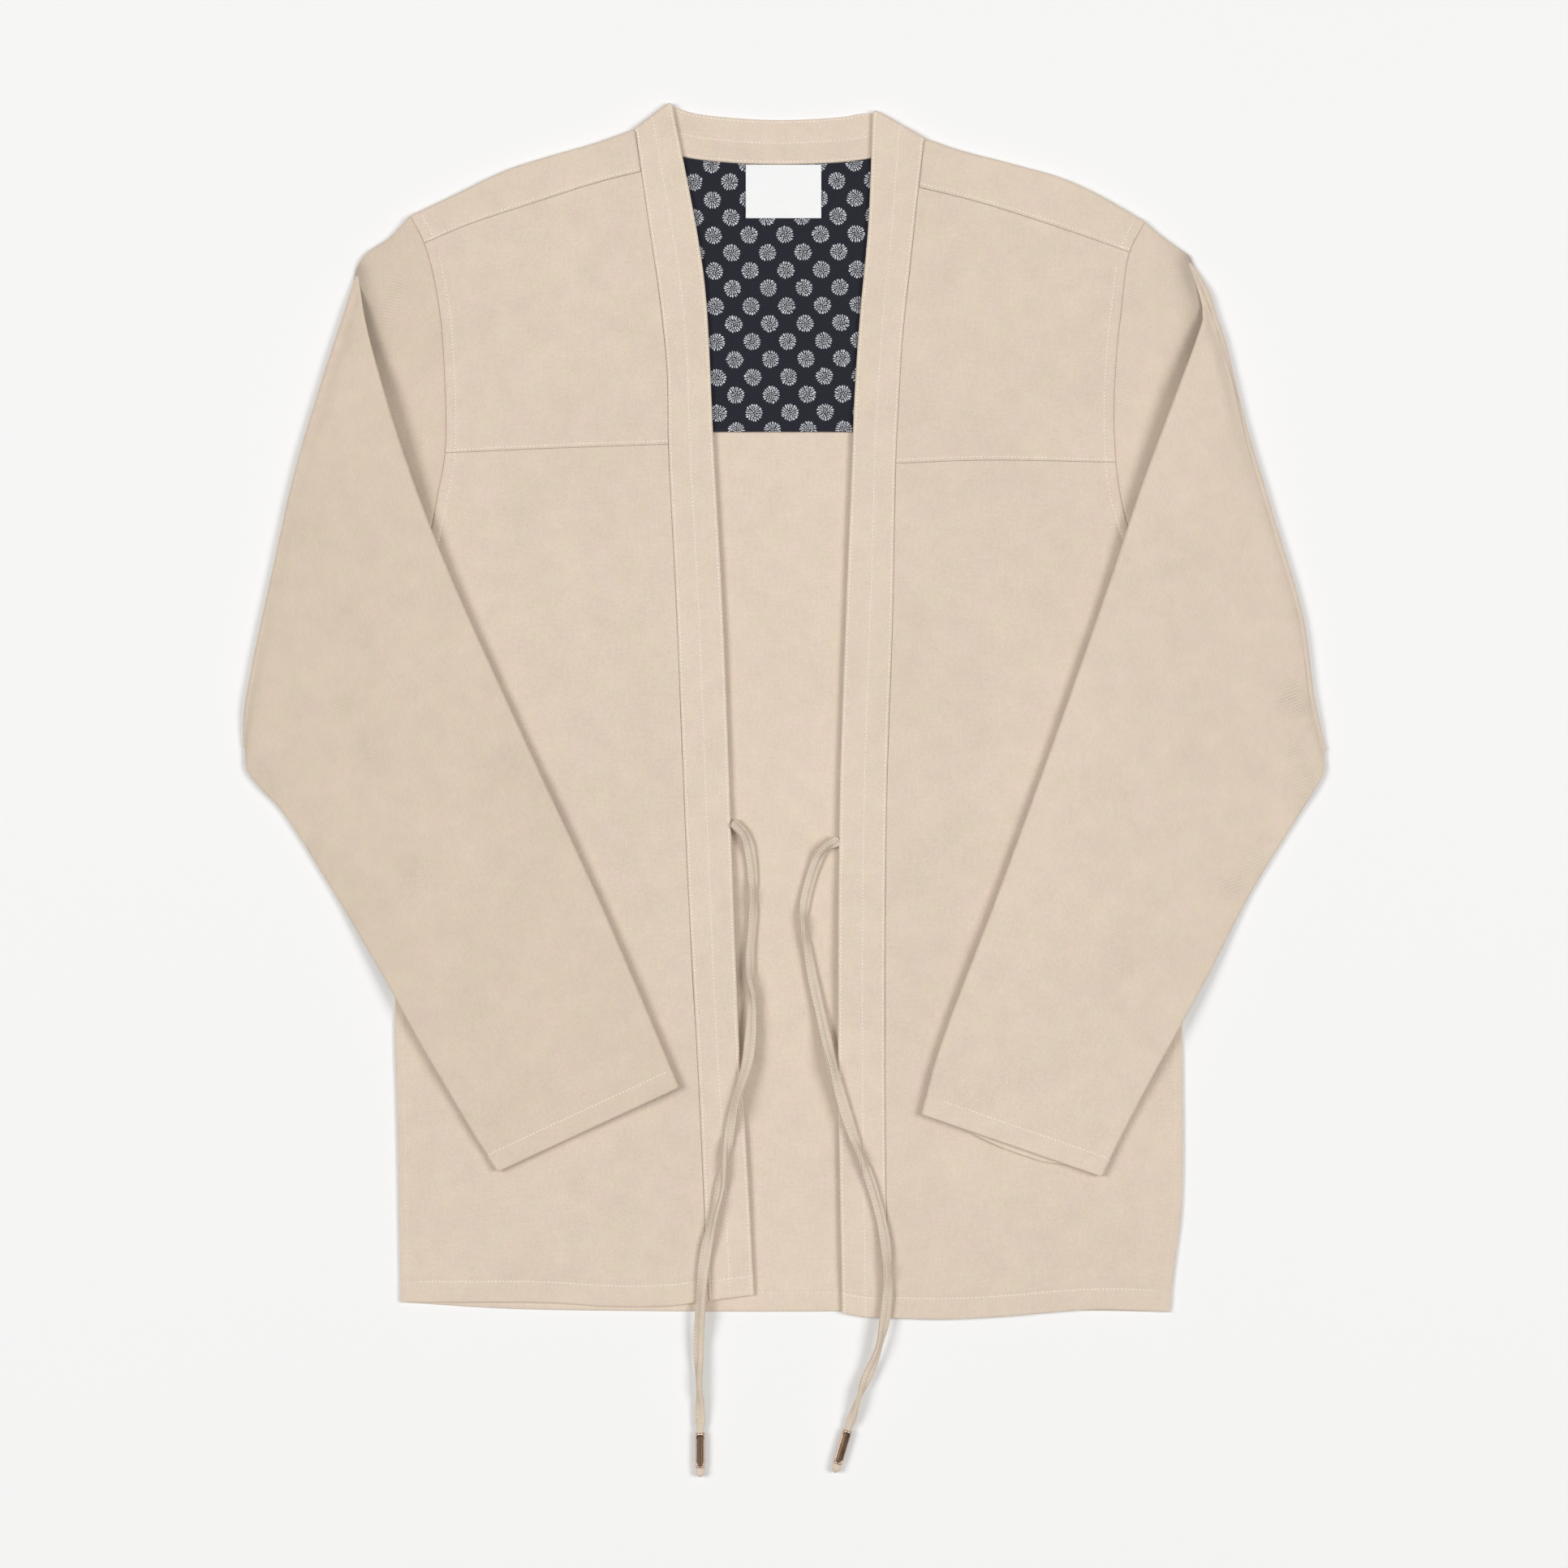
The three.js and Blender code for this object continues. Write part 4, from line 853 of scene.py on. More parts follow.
def strap(name):
    """A strip folded in four and edge-stitched: a flat boxy section that turns about its line."""
    line = cord_line(name)
    f = np.linspace(0, 1, int(line.length / 1.3) + 1)
    P = line.at(f)
    s = f * line.length
    T = unit(np.gradient(P, axis=0))
    turns = Line(TWISTS[name]).P
    twist = np.radians(np.interp(s - STRAP["root"], turns[:, 0], turns[:, 1]))
    # pressed round in the aglet, a little wider again at the tip
    round_len = TAIL + AGLET["length"] + 2
    flat = ease((line.length - round_len - s) / 5)
    past = ease((s - line.length + TAIL) / 1.5)
    full_width = STRAP["half_width"] + 0.25 * np.sin(s / 23.0 + 1) + 0.15 * np.sin(s / 7.1)
    full_height = STRAP["half_height"] + 0.12 * np.sin(s / 11.0) + 0.35 * np.sin(twist) ** 2
    wide = mix(STRAP["in_aglet"], full_width, flat) + 0.75 * past
    high = mix(STRAP["in_aglet"], full_height, flat) + 0.3 * past
    P[:, 2] += flat * (wide * np.abs(np.sin(twist)) + high * (np.abs(np.cos(twist)) - 1)) * 0.9
    across = unit(np.stack([T[:, 1], -T[:, 0], 0 * s], -1))
    up = np.cross(across, T)
    c, w = np.cos(twist)[:, None], np.sin(twist)[:, None]
    across, up = across * c + up * w, up * c - across * w

    # the section: cx across and cz up, each -1 to 1; the sewn edge is squarer than the folded one
    sides = STRAP["sides"]
    k = 2 * math.pi * np.arange(sides) / sides
    blunt = np.where(np.cos(k) > 0, 0.5, 0.72)
    cx = np.sign(np.cos(k)) * np.abs(np.cos(k)) ** blunt
    cz = np.sign(np.sin(k)) * np.abs(np.sin(k)) ** 0.55
    row = np.exp(-((cx - STRAP["row"]) / 0.09) ** 2)
    lips = np.exp(-(cz / 0.3) ** 2) * (cx > 0.5)
    middle = cx + 0.12 + 0.22 * np.sin(s / 31.0)[:, None]
    crease = np.exp(-(middle / 0.17) ** 2) * (0.6 + 0.4 * np.sin(s / 17.0)[:, None])
    F = flat[:, None]
    depth = high[:, None] * cz * (1 - F * (0.26 * row + 0.34 * crease))
    beside_row = np.sign(cz) * np.exp(-((cx - 0.75) / 0.2) ** 2)
    depth += F * 0.06 * np.sin(2 * math.pi * s / PITCH)[:, None] * beside_row
    width = wide[:, None] * cx * (1 - 0.12 * lips * F)
    to_tip = np.clip((line.length - s) / STRAP["round_tip"], 0, 1)
    tip = np.sqrt(np.maximum(1 - (1 - to_tip) ** 2, 0.02))
    size = (tip * np.clip(s / 0.8, 0.35, 1))[:, None, None]
    V = P[:, None] + (across[:, None] * width[..., None] + up[:, None] * depth[..., None]) * size

    idx = np.arange(len(V) * sides).reshape(len(V), sides)
    faces = ring_faces(idx)
    section = np.stack([cx * 3.4, cz * 1.2], -1)
    girth = lengths_along(np.vstack([section, section[:1]]))
    col = np.arange(len(faces)) % sides
    round_it = np.stack([girth[col], girth[col + 1], girth[col + 1], girth[col]], -1)
    uv = np.stack([round_it, s[faces // sides]], -1)
    caps = []
    for ring, order in ((idx[0], 1), (idx[-1], -1)):
        for q in range(sides // 2 - 1):
            quad = [ring[q], ring[(sides - 1 - q) % sides], ring[(sides - 2 - q) % sides], ring[q + 1]]
            caps.append(quad[::order])
    caps = np.array(caps)
    # paler at both edges where they rub; painted shade in the stitch row's groove, at the lips of the sewn
    # edge, in the crease and along the folded edge
    rub_and_shade = 0.10 * np.abs(cx) ** 6 - F * (0.8 * row + 1.2 * lips + 1.25 * crease) - 0.35 * F * (cx < -0.93)
    obj = solid(f"tie_strap_{name}", V.reshape(-1, 3), np.concatenate([faces, caps]), MAT_TIE,
                np.concatenate([uv, section[caps % sides]]), rub_and_shade.ravel())
    row_thread = Thread(31 if name == "right" else 37)
    keep = s < line.length - round_len - 6
    for face in (1, -1):
        at = int(np.argmin(np.abs(cx - STRAP["row"]) + (face * cz < 0)))
        edge_row = (V[keep][:, at], face * up[keep])
        row_thread.sew(edge_row, length=1.6, wide=0.22, tall=0.15, pitch=2.2, turn=0.05)
    sewn = row_thread.make(f"tie_stitches_{name}", MAT_THREAD)
    return obj, sewn, P, line.length


# a slightly darker tint of the same twill, mostly painted shade
MAT_TIE = twill("cotton_twill_tie", (219, 203, 184), pitch=0.9)


def aglet(name):
    """Crimped brass tube: a raised frame round a sunk bare plate on its face, rolled rims at its ends."""
    a, b = [np.array(p, float) for p in AGLET_AXIS[name]]
    along = unit(b - a)
    across = unit(np.array([along[1], -along[0], 0]))
    up = np.cross(across, along)
    L, rim, wall = AGLET["length"], AGLET["rim"], AGLET["wall"]
    by_rim = np.concatenate([[0, 0.12, 0.3, 0.6], np.linspace(0.9, 2.2, 6)])
    ys = np.unique(np.round(np.concatenate([by_rim, np.linspace(2.2, L - 2.2, 34), L - by_rim]), 3))
    n = 56
    k = 2 * math.pi * np.arange(n) / n
    Y, K = np.meshgrid(ys, k, indexing="ij")
    # signed distance to a rounded rectangle on the tube's face and on its back
    arc = np.abs(K % math.pi - math.pi / 2) * rim
    corner = PLATE["corner"]
    qx = arc - (PLATE["half_width"] - corner)
    qy = np.abs(Y - L / 2) - (L / 2 - PLATE["from_end"] - corner)
    box = np.hypot(np.maximum(qx, 0), np.maximum(qy, 0)) + np.minimum(np.maximum(qx, qy), 0) - corner
    sunk = ease(-box / 0.35 - 0.2)
    raised = np.exp(-((box + 0.05) / 0.45) ** 2)
    R = mix(wall + 0.08, wall - 0.28, sunk) + 0.2 * raised
    ends = np.minimum(Y, L - Y)
    R = R + 0.14 * np.exp(-((ends - 0.6) / 0.45) ** 2) - 0.35 * (1 - rounded(ends, 0.35))
    R = np.minimum(R, rim)
    outside = (a + along * Y[..., None] + across * (R * np.cos(K))[..., None]
               + up * (R * np.sin(K))[..., None] * 0.985)
    bore = AGLET["bore"] * (across * np.cos(k)[:, None] + up * np.sin(k)[:, None])
    inside = [a + along * y + bore for y in (L, L - 0.8, 0.8, 0)]
    V = np.concatenate([outside, np.array(inside)])
    idx = np.arange(len(V) * n).reshape(len(V), n)
    faces = ring_faces(np.vstack([idx, idx[:1]]))
    obj = solid(f"aglet_{name}_brass", V.reshape(-1, 3), faces, MAT_BRASS)
    obj.data.materials.append(MAT_RECESS)
    depth = np.zeros(len(V) * n)
    depth[:sunk.size] = sunk.ravel()
    in_plate = depth[faces].mean(1) > 0.5
    obj.data.polygons.foreach_set("material_index", in_plate.astype(np.int32))
    return obj


cords = {}
for side, _ in SIDES:
    tie, sewn, route, length = strap(side)
    tip = aglet(side)
    cords[side] = (tie, sewn, tip, route, length)


# ---- panels -----------------------------------------------------------------------------------
class Arm:
    """Armhole of a half with the shares at which the pieces along it start and end."""

    def __init__(self, half):
        self.line = Line(half["armhole"])
        L = self.line.length
        self.start = (TURN + CLOTH / 2) / L
        self.forward = self.line.share_at_y(half["yokeSeam"][0][1])
        self.yoke = self.line.share_at_y(YOKE_SEAM_Y)
        self.chest = self.line.share_at_y(half["chestSeam"][0][1])


def between(place, us, vs, width_of, height):
    """Grid of a panel: plan points, the distance of each from the four edges, the share down."""
    gap = SEAM / 2
    v = vs(height - 2 * gap)
    down = mix(gap / height, 1 - gap / height, v)
    w = width_of(down)
    u = us(w - gap - gap)
    U = gap / w[:, None] + u * (1 - (gap + gap) / w[:, None])
    V = across_rows(down, U.shape)
    W = (w - gap - gap)[:, None]
    D = dict(a=u * W, b=(1 - u) * W, top=across_rows(v * height, U.shape),
             bottom=across_rows((1 - v) * height, U.shape))
    return place(U, V), D, V


def gap_of(a, b):
    return lambda v: np.linalg.norm(a.at(v) - b.at(v), axis=-1)


def thick(D, edges, base=CLOTH, r=0.9):
    """Half thickness of a piece, rounded off along the named edges."""
    h = 1.0
    for e in edges:
        h = h * rounded(D[e], r)
    return base / 2 * np.maximum(h, 0.1)


# How far in from their edges the rows of stitches lie.
ARM_ROW, SEAM_ROW, HEM_ROW, BACK_HEM_ROW, FELL_ROW = 6.4, 2.1, 13.2, 12.4, 4.8
BAND_ROW, BAND_END_ROW, CUFF_ROW = 1.75, 12.6, 12.5
# Usual sizes of the pieces, which set their rows and columns and turn shares into millimetres.
CHEST, FRONT, BACK = dict(wide=142, high=160), dict(wide=165, high=545), dict(wide=430, high=560)
BAND_SIZE = dict(wide=31, run=760)
YOKE = dict(wing=145, to_seam=190, high=150, front=26, half_neck=130)


def arm_seam(d):
    """Allowance and row of stitches along the armhole."""
    return bulk(d, ARM_ROW, 0.32) + dip(d, ARM_ROW, 0.28)


def chest(side, half):
    arm = Arm(half)
    band, top, bottom = band_lines(half)[0], forward_seam(half), Line(half["chestSeam"])
    a = arm.line.part(arm.forward, arm.chest)
    b = band.part(band.share_at_y(top.at(1.0)[1]), band.share_at_y(bottom.at(1.0)[1]))
    place = span(top, bottom, a, b)
    us = ticks(CHEST["wide"], ROUND + row_marks(ARM_ROW), ROUND, 4)
    vs = ticks(CHEST["high"], ROUND, ROUND + row_marks(SEAM_ROW, 0.6), 4)
    P, D, _ = between(place, us, vs, gap_of(a, b), CHEST["high"])
    P[..., 2] = front_height(half, P[..., 0], P[..., 1])
    relief = (arm_seam(D["a"]) + pucker(P[..., 1], D["a"], ARM_ROW, 10, 0.10)
              + bulk(D["bottom"], SEAM_ROW, 0.25) + dip(D["bottom"], SEAM_ROW, 0.22, 0.6)
              + pucker(P[..., 0], D["bottom"], SEAM_ROW, 9, 0.10, seed=3))
    rub_and_shade = 0.10 * np.exp(-D["bottom"] / 1.2) + 0.08 * np.exp(-D["a"] / 1.5)
    cloth = Cloth()
    cloth.grid(P, plan_uv(P), thick(D, ("a", "b", "top", "bottom")), relief, 0, rub_and_shade)
    obj, (S,) = cloth.wall(f"chest_{side}", MAT_CLOTH, (0, 20, 20))
    thread.sew(contour(S, D["a"], ARM_ROW, 1, start=0.14))
    thread.sew(contour(S, D["bottom"], SEAM_ROW, 0, start=0.02, end=0.99))
    return obj


def front(side, half):
    arm = Arm(half)
    band, top, bottom = band_lines(half)[0], Line(half["chestSeam"]), Line(half["frontHem"])
    a = chain(arm.line.part(arm.chest, 1), Line(half["sideSeam"]))
    b = band.part(band.share_at_y(top.at(1.0)[1]), 1)
    place = span(top, bottom, a, b)
    us = ticks(FRONT["wide"], ROUND + row_marks(ARM_ROW), ROUND, 4)
    vs = ticks(FRONT["high"], ROUND + [2, 4], ROUND + [2.5, 5, 8] + row_marks(HEM_ROW), 3.6)
    P, D, V = between(place, us, vs, gap_of(a, b), FRONT["high"])
    x, y = P[..., 0], P[..., 1]
    P[..., 2] = front_height(half, x, y)
    on_arm = 1 - ease((V - a.share * 0.9) / 0.05)
    hem = bulk(D["bottom"], HEM_ROW, 0.22) + dip(D["bottom"], HEM_ROW, 0.3)
    # slanted waves of a hem that has shrunk a little
    wave = np.sin(2 * math.pi * (x / 12 + D["bottom"] / 16) + 1.5 * drift(x, y * 0, 80, 9))
    rope = 0.10 * wave * ease(1 - D["bottom"] / 15)
    relief = (on_arm * arm_seam(D["a"]) + hem + rope * ease(D["a"] / 12)
              + pucker(x, D["bottom"], HEM_ROW, 10, 0.12, 7, seed=4))
    # felled side seam: its allowance shows as a soft step a few millimetres in from the edge
    relief = relief + (1 - on_arm) * 0.16 * (1 - ease((D["a"] - 5.2) / 1.6)) * ease(D["a"] / 2)
    rub_and_shade = 0.16 * np.exp(-D["bottom"] / 1.0) + 0.08 * np.exp(-D["a"] / 1.5)
    cloth = Cloth()
    turned_up = 0.2 * ease(1 - D["bottom"] / 13)
    cloth.grid(P, plan_uv(P), thick(D, ("a", "b", "top", "bottom")), relief, turned_up, rub_and_shade)
    obj, (S,) = cloth.wall(f"front_panel_{side}", MAT_CLOTH, (0, 20, 20))
    thread.sew(contour(S, D["a"], ARM_ROW, 1, end=a.share * 0.93))
    thread.sew(contour(S, D["bottom"], HEM_ROW, 0, start=0.2))
    fell = contour(S, D["a"], FELL_ROW, 1, start=a.share * 1.05, end=0.96)
    thread.sew(fell, length=1.1, wide=0.2, tall=0.14)
    return obj


def band_fold(half):
    """Where the band turns over the shoulder: the way it turns, and its two corners set in."""
    outer, inner = [np.array(half[k][0] + (0.0,)) for k in ("bandSeam", "bandEdge")]
    along = unit(inner - outer)
    out = np.array([-along[1], along[0], 0])
    out = out if out[1] > 0 else -out
    shift = out * (BAND_TURN + BAND / 2)
    return out, outer - shift, inner - shift


def band_lines(half):
    """Seam and free edge of the band below its shoulder fold."""
    _, outer, inner = band_fold(half)
    return Line([tuple(outer)] + half["bandSeam"][1:]), Line([tuple(inner)] + half["bandEdge"][1:])


def forward_seam(half):
    """The forward shoulder seam, brought to the band's seam line."""
    band, y = band_lines(half)[0], half["yokeSeam"][-1][1]
    return Line(half["yokeSeam"][:-1] + [tuple(band.at(band.share_at_y(y))[:2])])


def shoulder_line(half):
    """The line on which the yoke begins to turn over the shoulder, and the way it turns."""
    top = Line(half["shoulder"])
    out0, out1 = Line(half["armhole"]).heading(0.0), band_fold(half)[0]

    def out(f):
        return unit(mix(out0, out1, np.asarray(f, float)[..., None]))
    f = np.linspace(0, 1, 240)
    return Line(top.at(f) - out(f) * (TURN + CLOTH / 2), False), out


def upper_back(arm, line):
    """Plan of one wing of the back yoke, from the shoulder to the yoke seam."""
    corner = line.at(1.0)
    foot = (corner[0], YOKE_SEAM_Y)
    return span(line, straight(arm.line.at(arm.yoke), foot), arm.line.part(arm.start, arm.yoke),
                straight(corner, foot))


def inner_column(P, half):
    return P[:, -1 if half["sign"] < 0 else 0]


def joined(right, left, vs, us, z):
    """The back between the two wings' inner columns, below the neck seam."""
    neck = [(x, y - NECK_GAP) for x, y in NECK_SEAM]
    neck = Line([tuple(right[0][:2])] + neck + [tuple(left[0][:2])])
    place = span(neck, straight(right[-1], left[-1]), straight(right[0], right[-1]),
                 straight(left[0], left[-1]))
    P = place(us[None, :], vs[:, None])
    P[..., 2] = z
    P[:, 0], P[:, -1] = right, left
    return P


def over_turn(row, out, radius, low, steps):
    """Rows of an arc that turns up and over from `row`, whose height is `low`, along `out`."""
    rows = []
    for t in np.linspace(0, 1, steps)[1:-1]:
        q = row + out * (radius * math.sin(math.pi * t))
        q[:, 2] = low + radius * (1 - math.cos(math.pi * t))
        rows.append(q)
    return np.array(rows)


def yoke():
    """The outer yoke: two wings that turn up over the shoulders, and the middle between them."""
    cloth = Cloth()
    vs = np.concatenate([[0, 0.012, 0.03, 0.06], np.linspace(0.1, 0.985, 26), [0.994, 1]])
    wing, to_seam, high = YOKE["wing"], YOKE["to_seam"], YOKE["high"]
    fronts, columns = [], []
    for _, half in SIDES:
        arm = Arm(half)
        line, out = shoulder_line(half)
        wing_plan = upper_back(arm, line)
        seam = forward_seam(half)
        inner = Line([tuple(line.at(1.0))] + half["bandSeam"][1:])
        inner = inner.part(0, inner.share_at_y(seam.at(1.0)[1]))
        front_plan = span(line, seam, arm.line.part(arm.start, arm.forward), inner)
        u = marks(wing, ROUND + row_marks(ARM_ROW), [0.4, 2, 5], 4)
        u = np.append(u[:-3], [1 - 5 / wing, 1 - 2 / wing, 1.0])
        U = mix(SEAM * 0.6 / wing, 1 - SEAM / 2 / wing, u)
        lower = wing_plan(U[None, :], mix(0, 1 - SEAM / 2 / to_seam, vs)[:, None])
        lower[..., 2] = BACK_Z
        arcs = over_turn(lower[0], out(U), TURN, BACK_Z, 10)
        v = marks(YOKE["front"] - SEAM / 2, [0, 1, 3, 6], ROUND + row_marks(SEAM_ROW, 0.6), 3)
        upper = front_plan(U[None, :], v[:, None] * (1 - SEAM / 2 / YOKE["front"]))
        risen = ease(v * 3)[:, None]
        upper[..., 2] = front_height(half, upper[..., 0], upper[..., 1]) * risen + FRONT_Z * (1 - risen)
        P = np.concatenate([lower[::-1], arcs, upper])
        arc_0, front_0 = len(lower), len(lower) + len(arcs)
        from_arm = np.broadcast_to(u * wing, P.shape[:2])
        from_seam = np.full(P.shape[:2], 99.0)
        from_seam[front_0:] = ((1 - v) * YOKE["front"])[:, None]
        from_back = np.full(P.shape[:2], 99.0)
        from_back[:arc_0] = ((1 - vs[::-1]) * high)[:, None]
        relief = (bulk(from_arm, ARM_ROW, 0.3) + dip(from_arm, ARM_ROW, 0.28)
                  + bulk(from_seam, SEAM_ROW, 0.35) + dip(from_seam, SEAM_ROW, 0.22, 0.6)
                  + pucker(P[..., 0], from_seam, SEAM_ROW, 9, 0.12, seed=12))
        relief[:arc_0] = 0
        rub_and_shade = 0.12 * np.exp(-from_seam / 1.3) + 0.08 * np.exp(-from_arm / 1.5)
        rub_and_shade[arc_0:front_0] += 0.10
        D = dict(a=from_arm, bottom=from_seam, back=from_back)
        if half["sign"] > 0:
            P, relief, rub_and_shade = P[:, ::-1], relief[:, ::-1], rub_and_shade[:, ::-1]
            D = {k: d[:, ::-1] for k, d in D.items()}
        uv = np.stack([P[..., 0], across_rows(lengths_along(P.mean(1)), P.shape[:2])], -1)
        g = cloth.grid(P, uv, thick(D, ("a", "bottom", "back")), relief, 0, rub_and_shade)
        fronts.append((g, D, front_0, half["sign"]))
        columns.append(inner_column(P, half)[:arc_0][::-1])
    us = np.linspace(0, 1, 41)
    P = joined(*columns, vs, us, BACK_Z)
    from_back = across_rows((1 - vs) * high, P.shape[:2])
    from_neck = across_rows(vs * high, P.shape[:2])
    edge = thick(dict(back=from_back), ("back",))
    at_neck = mix(0.15, 1, rounded(from_neck, 1.2)) * CLOTH / 2
    from_wing = np.minimum(us, 1 - us)[None, :] * YOKE["half_neck"]
    h = np.where(from_back < 2, edge, mix(edge, at_neck, ease(from_wing / 6)))
    uv = np.stack([P[..., 0], P[..., 1] - P[..., 1].min()], -1)
    cloth.grid(P[::-1], uv[::-1], h[::-1])
    obj, S = cloth.wall("yoke_shell", MAT_CLOTH, (0, len(cloth.parts[0][0]) - 4, 20))
    for g, D, first, sign in fronts:
        top = {k: v[first:] for k, v in S[g].items()}
        row = contour(top, D["bottom"][first:], SEAM_ROW, 0)
        thread.sew(row)
        at_arm = slice(-10, -5) if sign > 0 else slice(5, 10)
        thread.tack(*[v[at_arm] for v in row])
        thread.sew(contour(top, D["a"][first:], ARM_ROW, 1, end=0.82))
    return obj


def lining():
    cloth = Cloth()
    vs = np.concatenate([[0, 0.006, 0.015, 0.03], np.linspace(0.06, 0.97, 30), [0.985, 0.994, 0.998, 1]])
    wing, to_seam, high = YOKE["wing"], YOKE["to_seam"], YOKE["high"]
    from_back = (1 - vs) * high
    columns = []
    for _, half in SIDES:
        wing_plan = upper_back(Arm(half), shoulder_line(half)[0])
        u = np.concatenate([[0, 0.003, 0.01], np.linspace(0.03, 1, 22)])
        U = mix(3 / wing, 1 - 0.12 / wing, u)
        P = wing_plan(U[None, :], mix(0.8 / to_seam, 1 - 0.2 / to_seam, vs)[:, None])
        P[..., 2] = LINING_Z
        edges = rounded(u * 140, 0.6)[None, :] * rounded(from_back, 0.6)[:, None]
        h = THIN / 2 * np.maximum(edges, 0.12)
        if half["sign"] > 0:
            P, h = P[:, ::-1], h[:, ::-1]
        cloth.grid(P, plan_uv(P), h)
        columns.append(inner_column(P, half))
    us = np.linspace(0, 1, 61)
    P = joined(*columns, vs, us, LINING_Z)
    from_wing = np.minimum(us, 1 - us)[None, :] * YOKE["half_neck"]
    neck = np.where(from_wing > 0.01, mix(0.15, 1, rounded(vs * high, 0.8))[:, None], 1)
    edges = rounded(from_back, 0.6)[:, None] * mix(1, neck, ease(from_wing / 5))
    soft = ease(from_wing / 12) * ease((1 - vs) * 9)[:, None]
    relief = 0.10 * drift(P[..., 0], P[..., 1], 42, 21) * soft
    cloth.grid(P, plan_uv(P), THIN / 2 * np.maximum(edges, 0.12), relief)
    obj, _ = cloth.wall("lining_print", MAT_LINING, (2, 20, 20))
    return obj


def back():
    """The back below the yoke seam; its inside shows between the fronts."""
    arms = [Arm(h) for _, h in SIDES]
    a, b = [chain(arm.line.part(arm.yoke, 1), Line(h["sideSeam"])) for arm, (_, h) in zip(arms, SIDES)]
    f = np.linspace(0, 1, 400)
    # the left edge is read so that its armpit comes where the right one's is
    b = Line(b.at(np.interp(f, [0, a.share, 1], [0, b.share, 1])), False)
    b.s = f
    place = span(straight(a.at(0.0), b.at(0.0)), Line(BACK_HEM), a, b)
    hem_edge = 14.1               # the turned-up layer ends here, above its row
    by_hem = [3, 6, 9, 11.6, 12, BACK_HEM_ROW, 12.8, 13.4, hem_edge, 14.45, 14.8, 15.4]
    us = ticks(BACK["wide"], ROUND, ROUND, 5)
    vs = ticks(BACK["high"], ROUND, ROUND + by_hem, 5)
    P, D, _ = between(place, us, vs, gap_of(a, b), BACK["high"])
    x, y = P[..., 0], P[..., 1]
    P[..., 2] = BACK_Z
    inside = ease(D["a"] / 14) * ease(D["b"] / 14)
    hem = 0.42 * (1 - ease((D["bottom"] - hem_edge) / 0.7)) + dip(D["bottom"], BACK_HEM_ROW, 0.3, 0.6)
    soft = (0.16 + 0.16 * drift(x, y, 120, 31)) * ease(D["bottom"] / 30)
    waves = pucker(x, D["bottom"], BACK_HEM_ROW, 11, 0.10, 6, seed=17)
    relief = inside * (hem * ease(D["bottom"] / 1.2) + soft + waves)
    rub_and_shade = 0.12 * np.exp(-D["bottom"] / 1.2)
    cloth = Cloth()
    cloth.grid(P, plan_uv(P), thick(D, ("a", "b", "top", "bottom")), relief, 0, rub_and_shade)
    obj, (S,) = cloth.wall("back_panel", MAT_INSIDE, (0, 40, 40))
    inside_row = contour(S, D["bottom"], BACK_HEM_ROW, 0, start=0.04, end=0.96)
    thread.sew(inside_row, length=1.3, wide=0.24, tall=0.1)
    thread.sew(contour(S, D["bottom"], HEM_ROW, 0, "inner", 0.04, 0.96))
    return obj


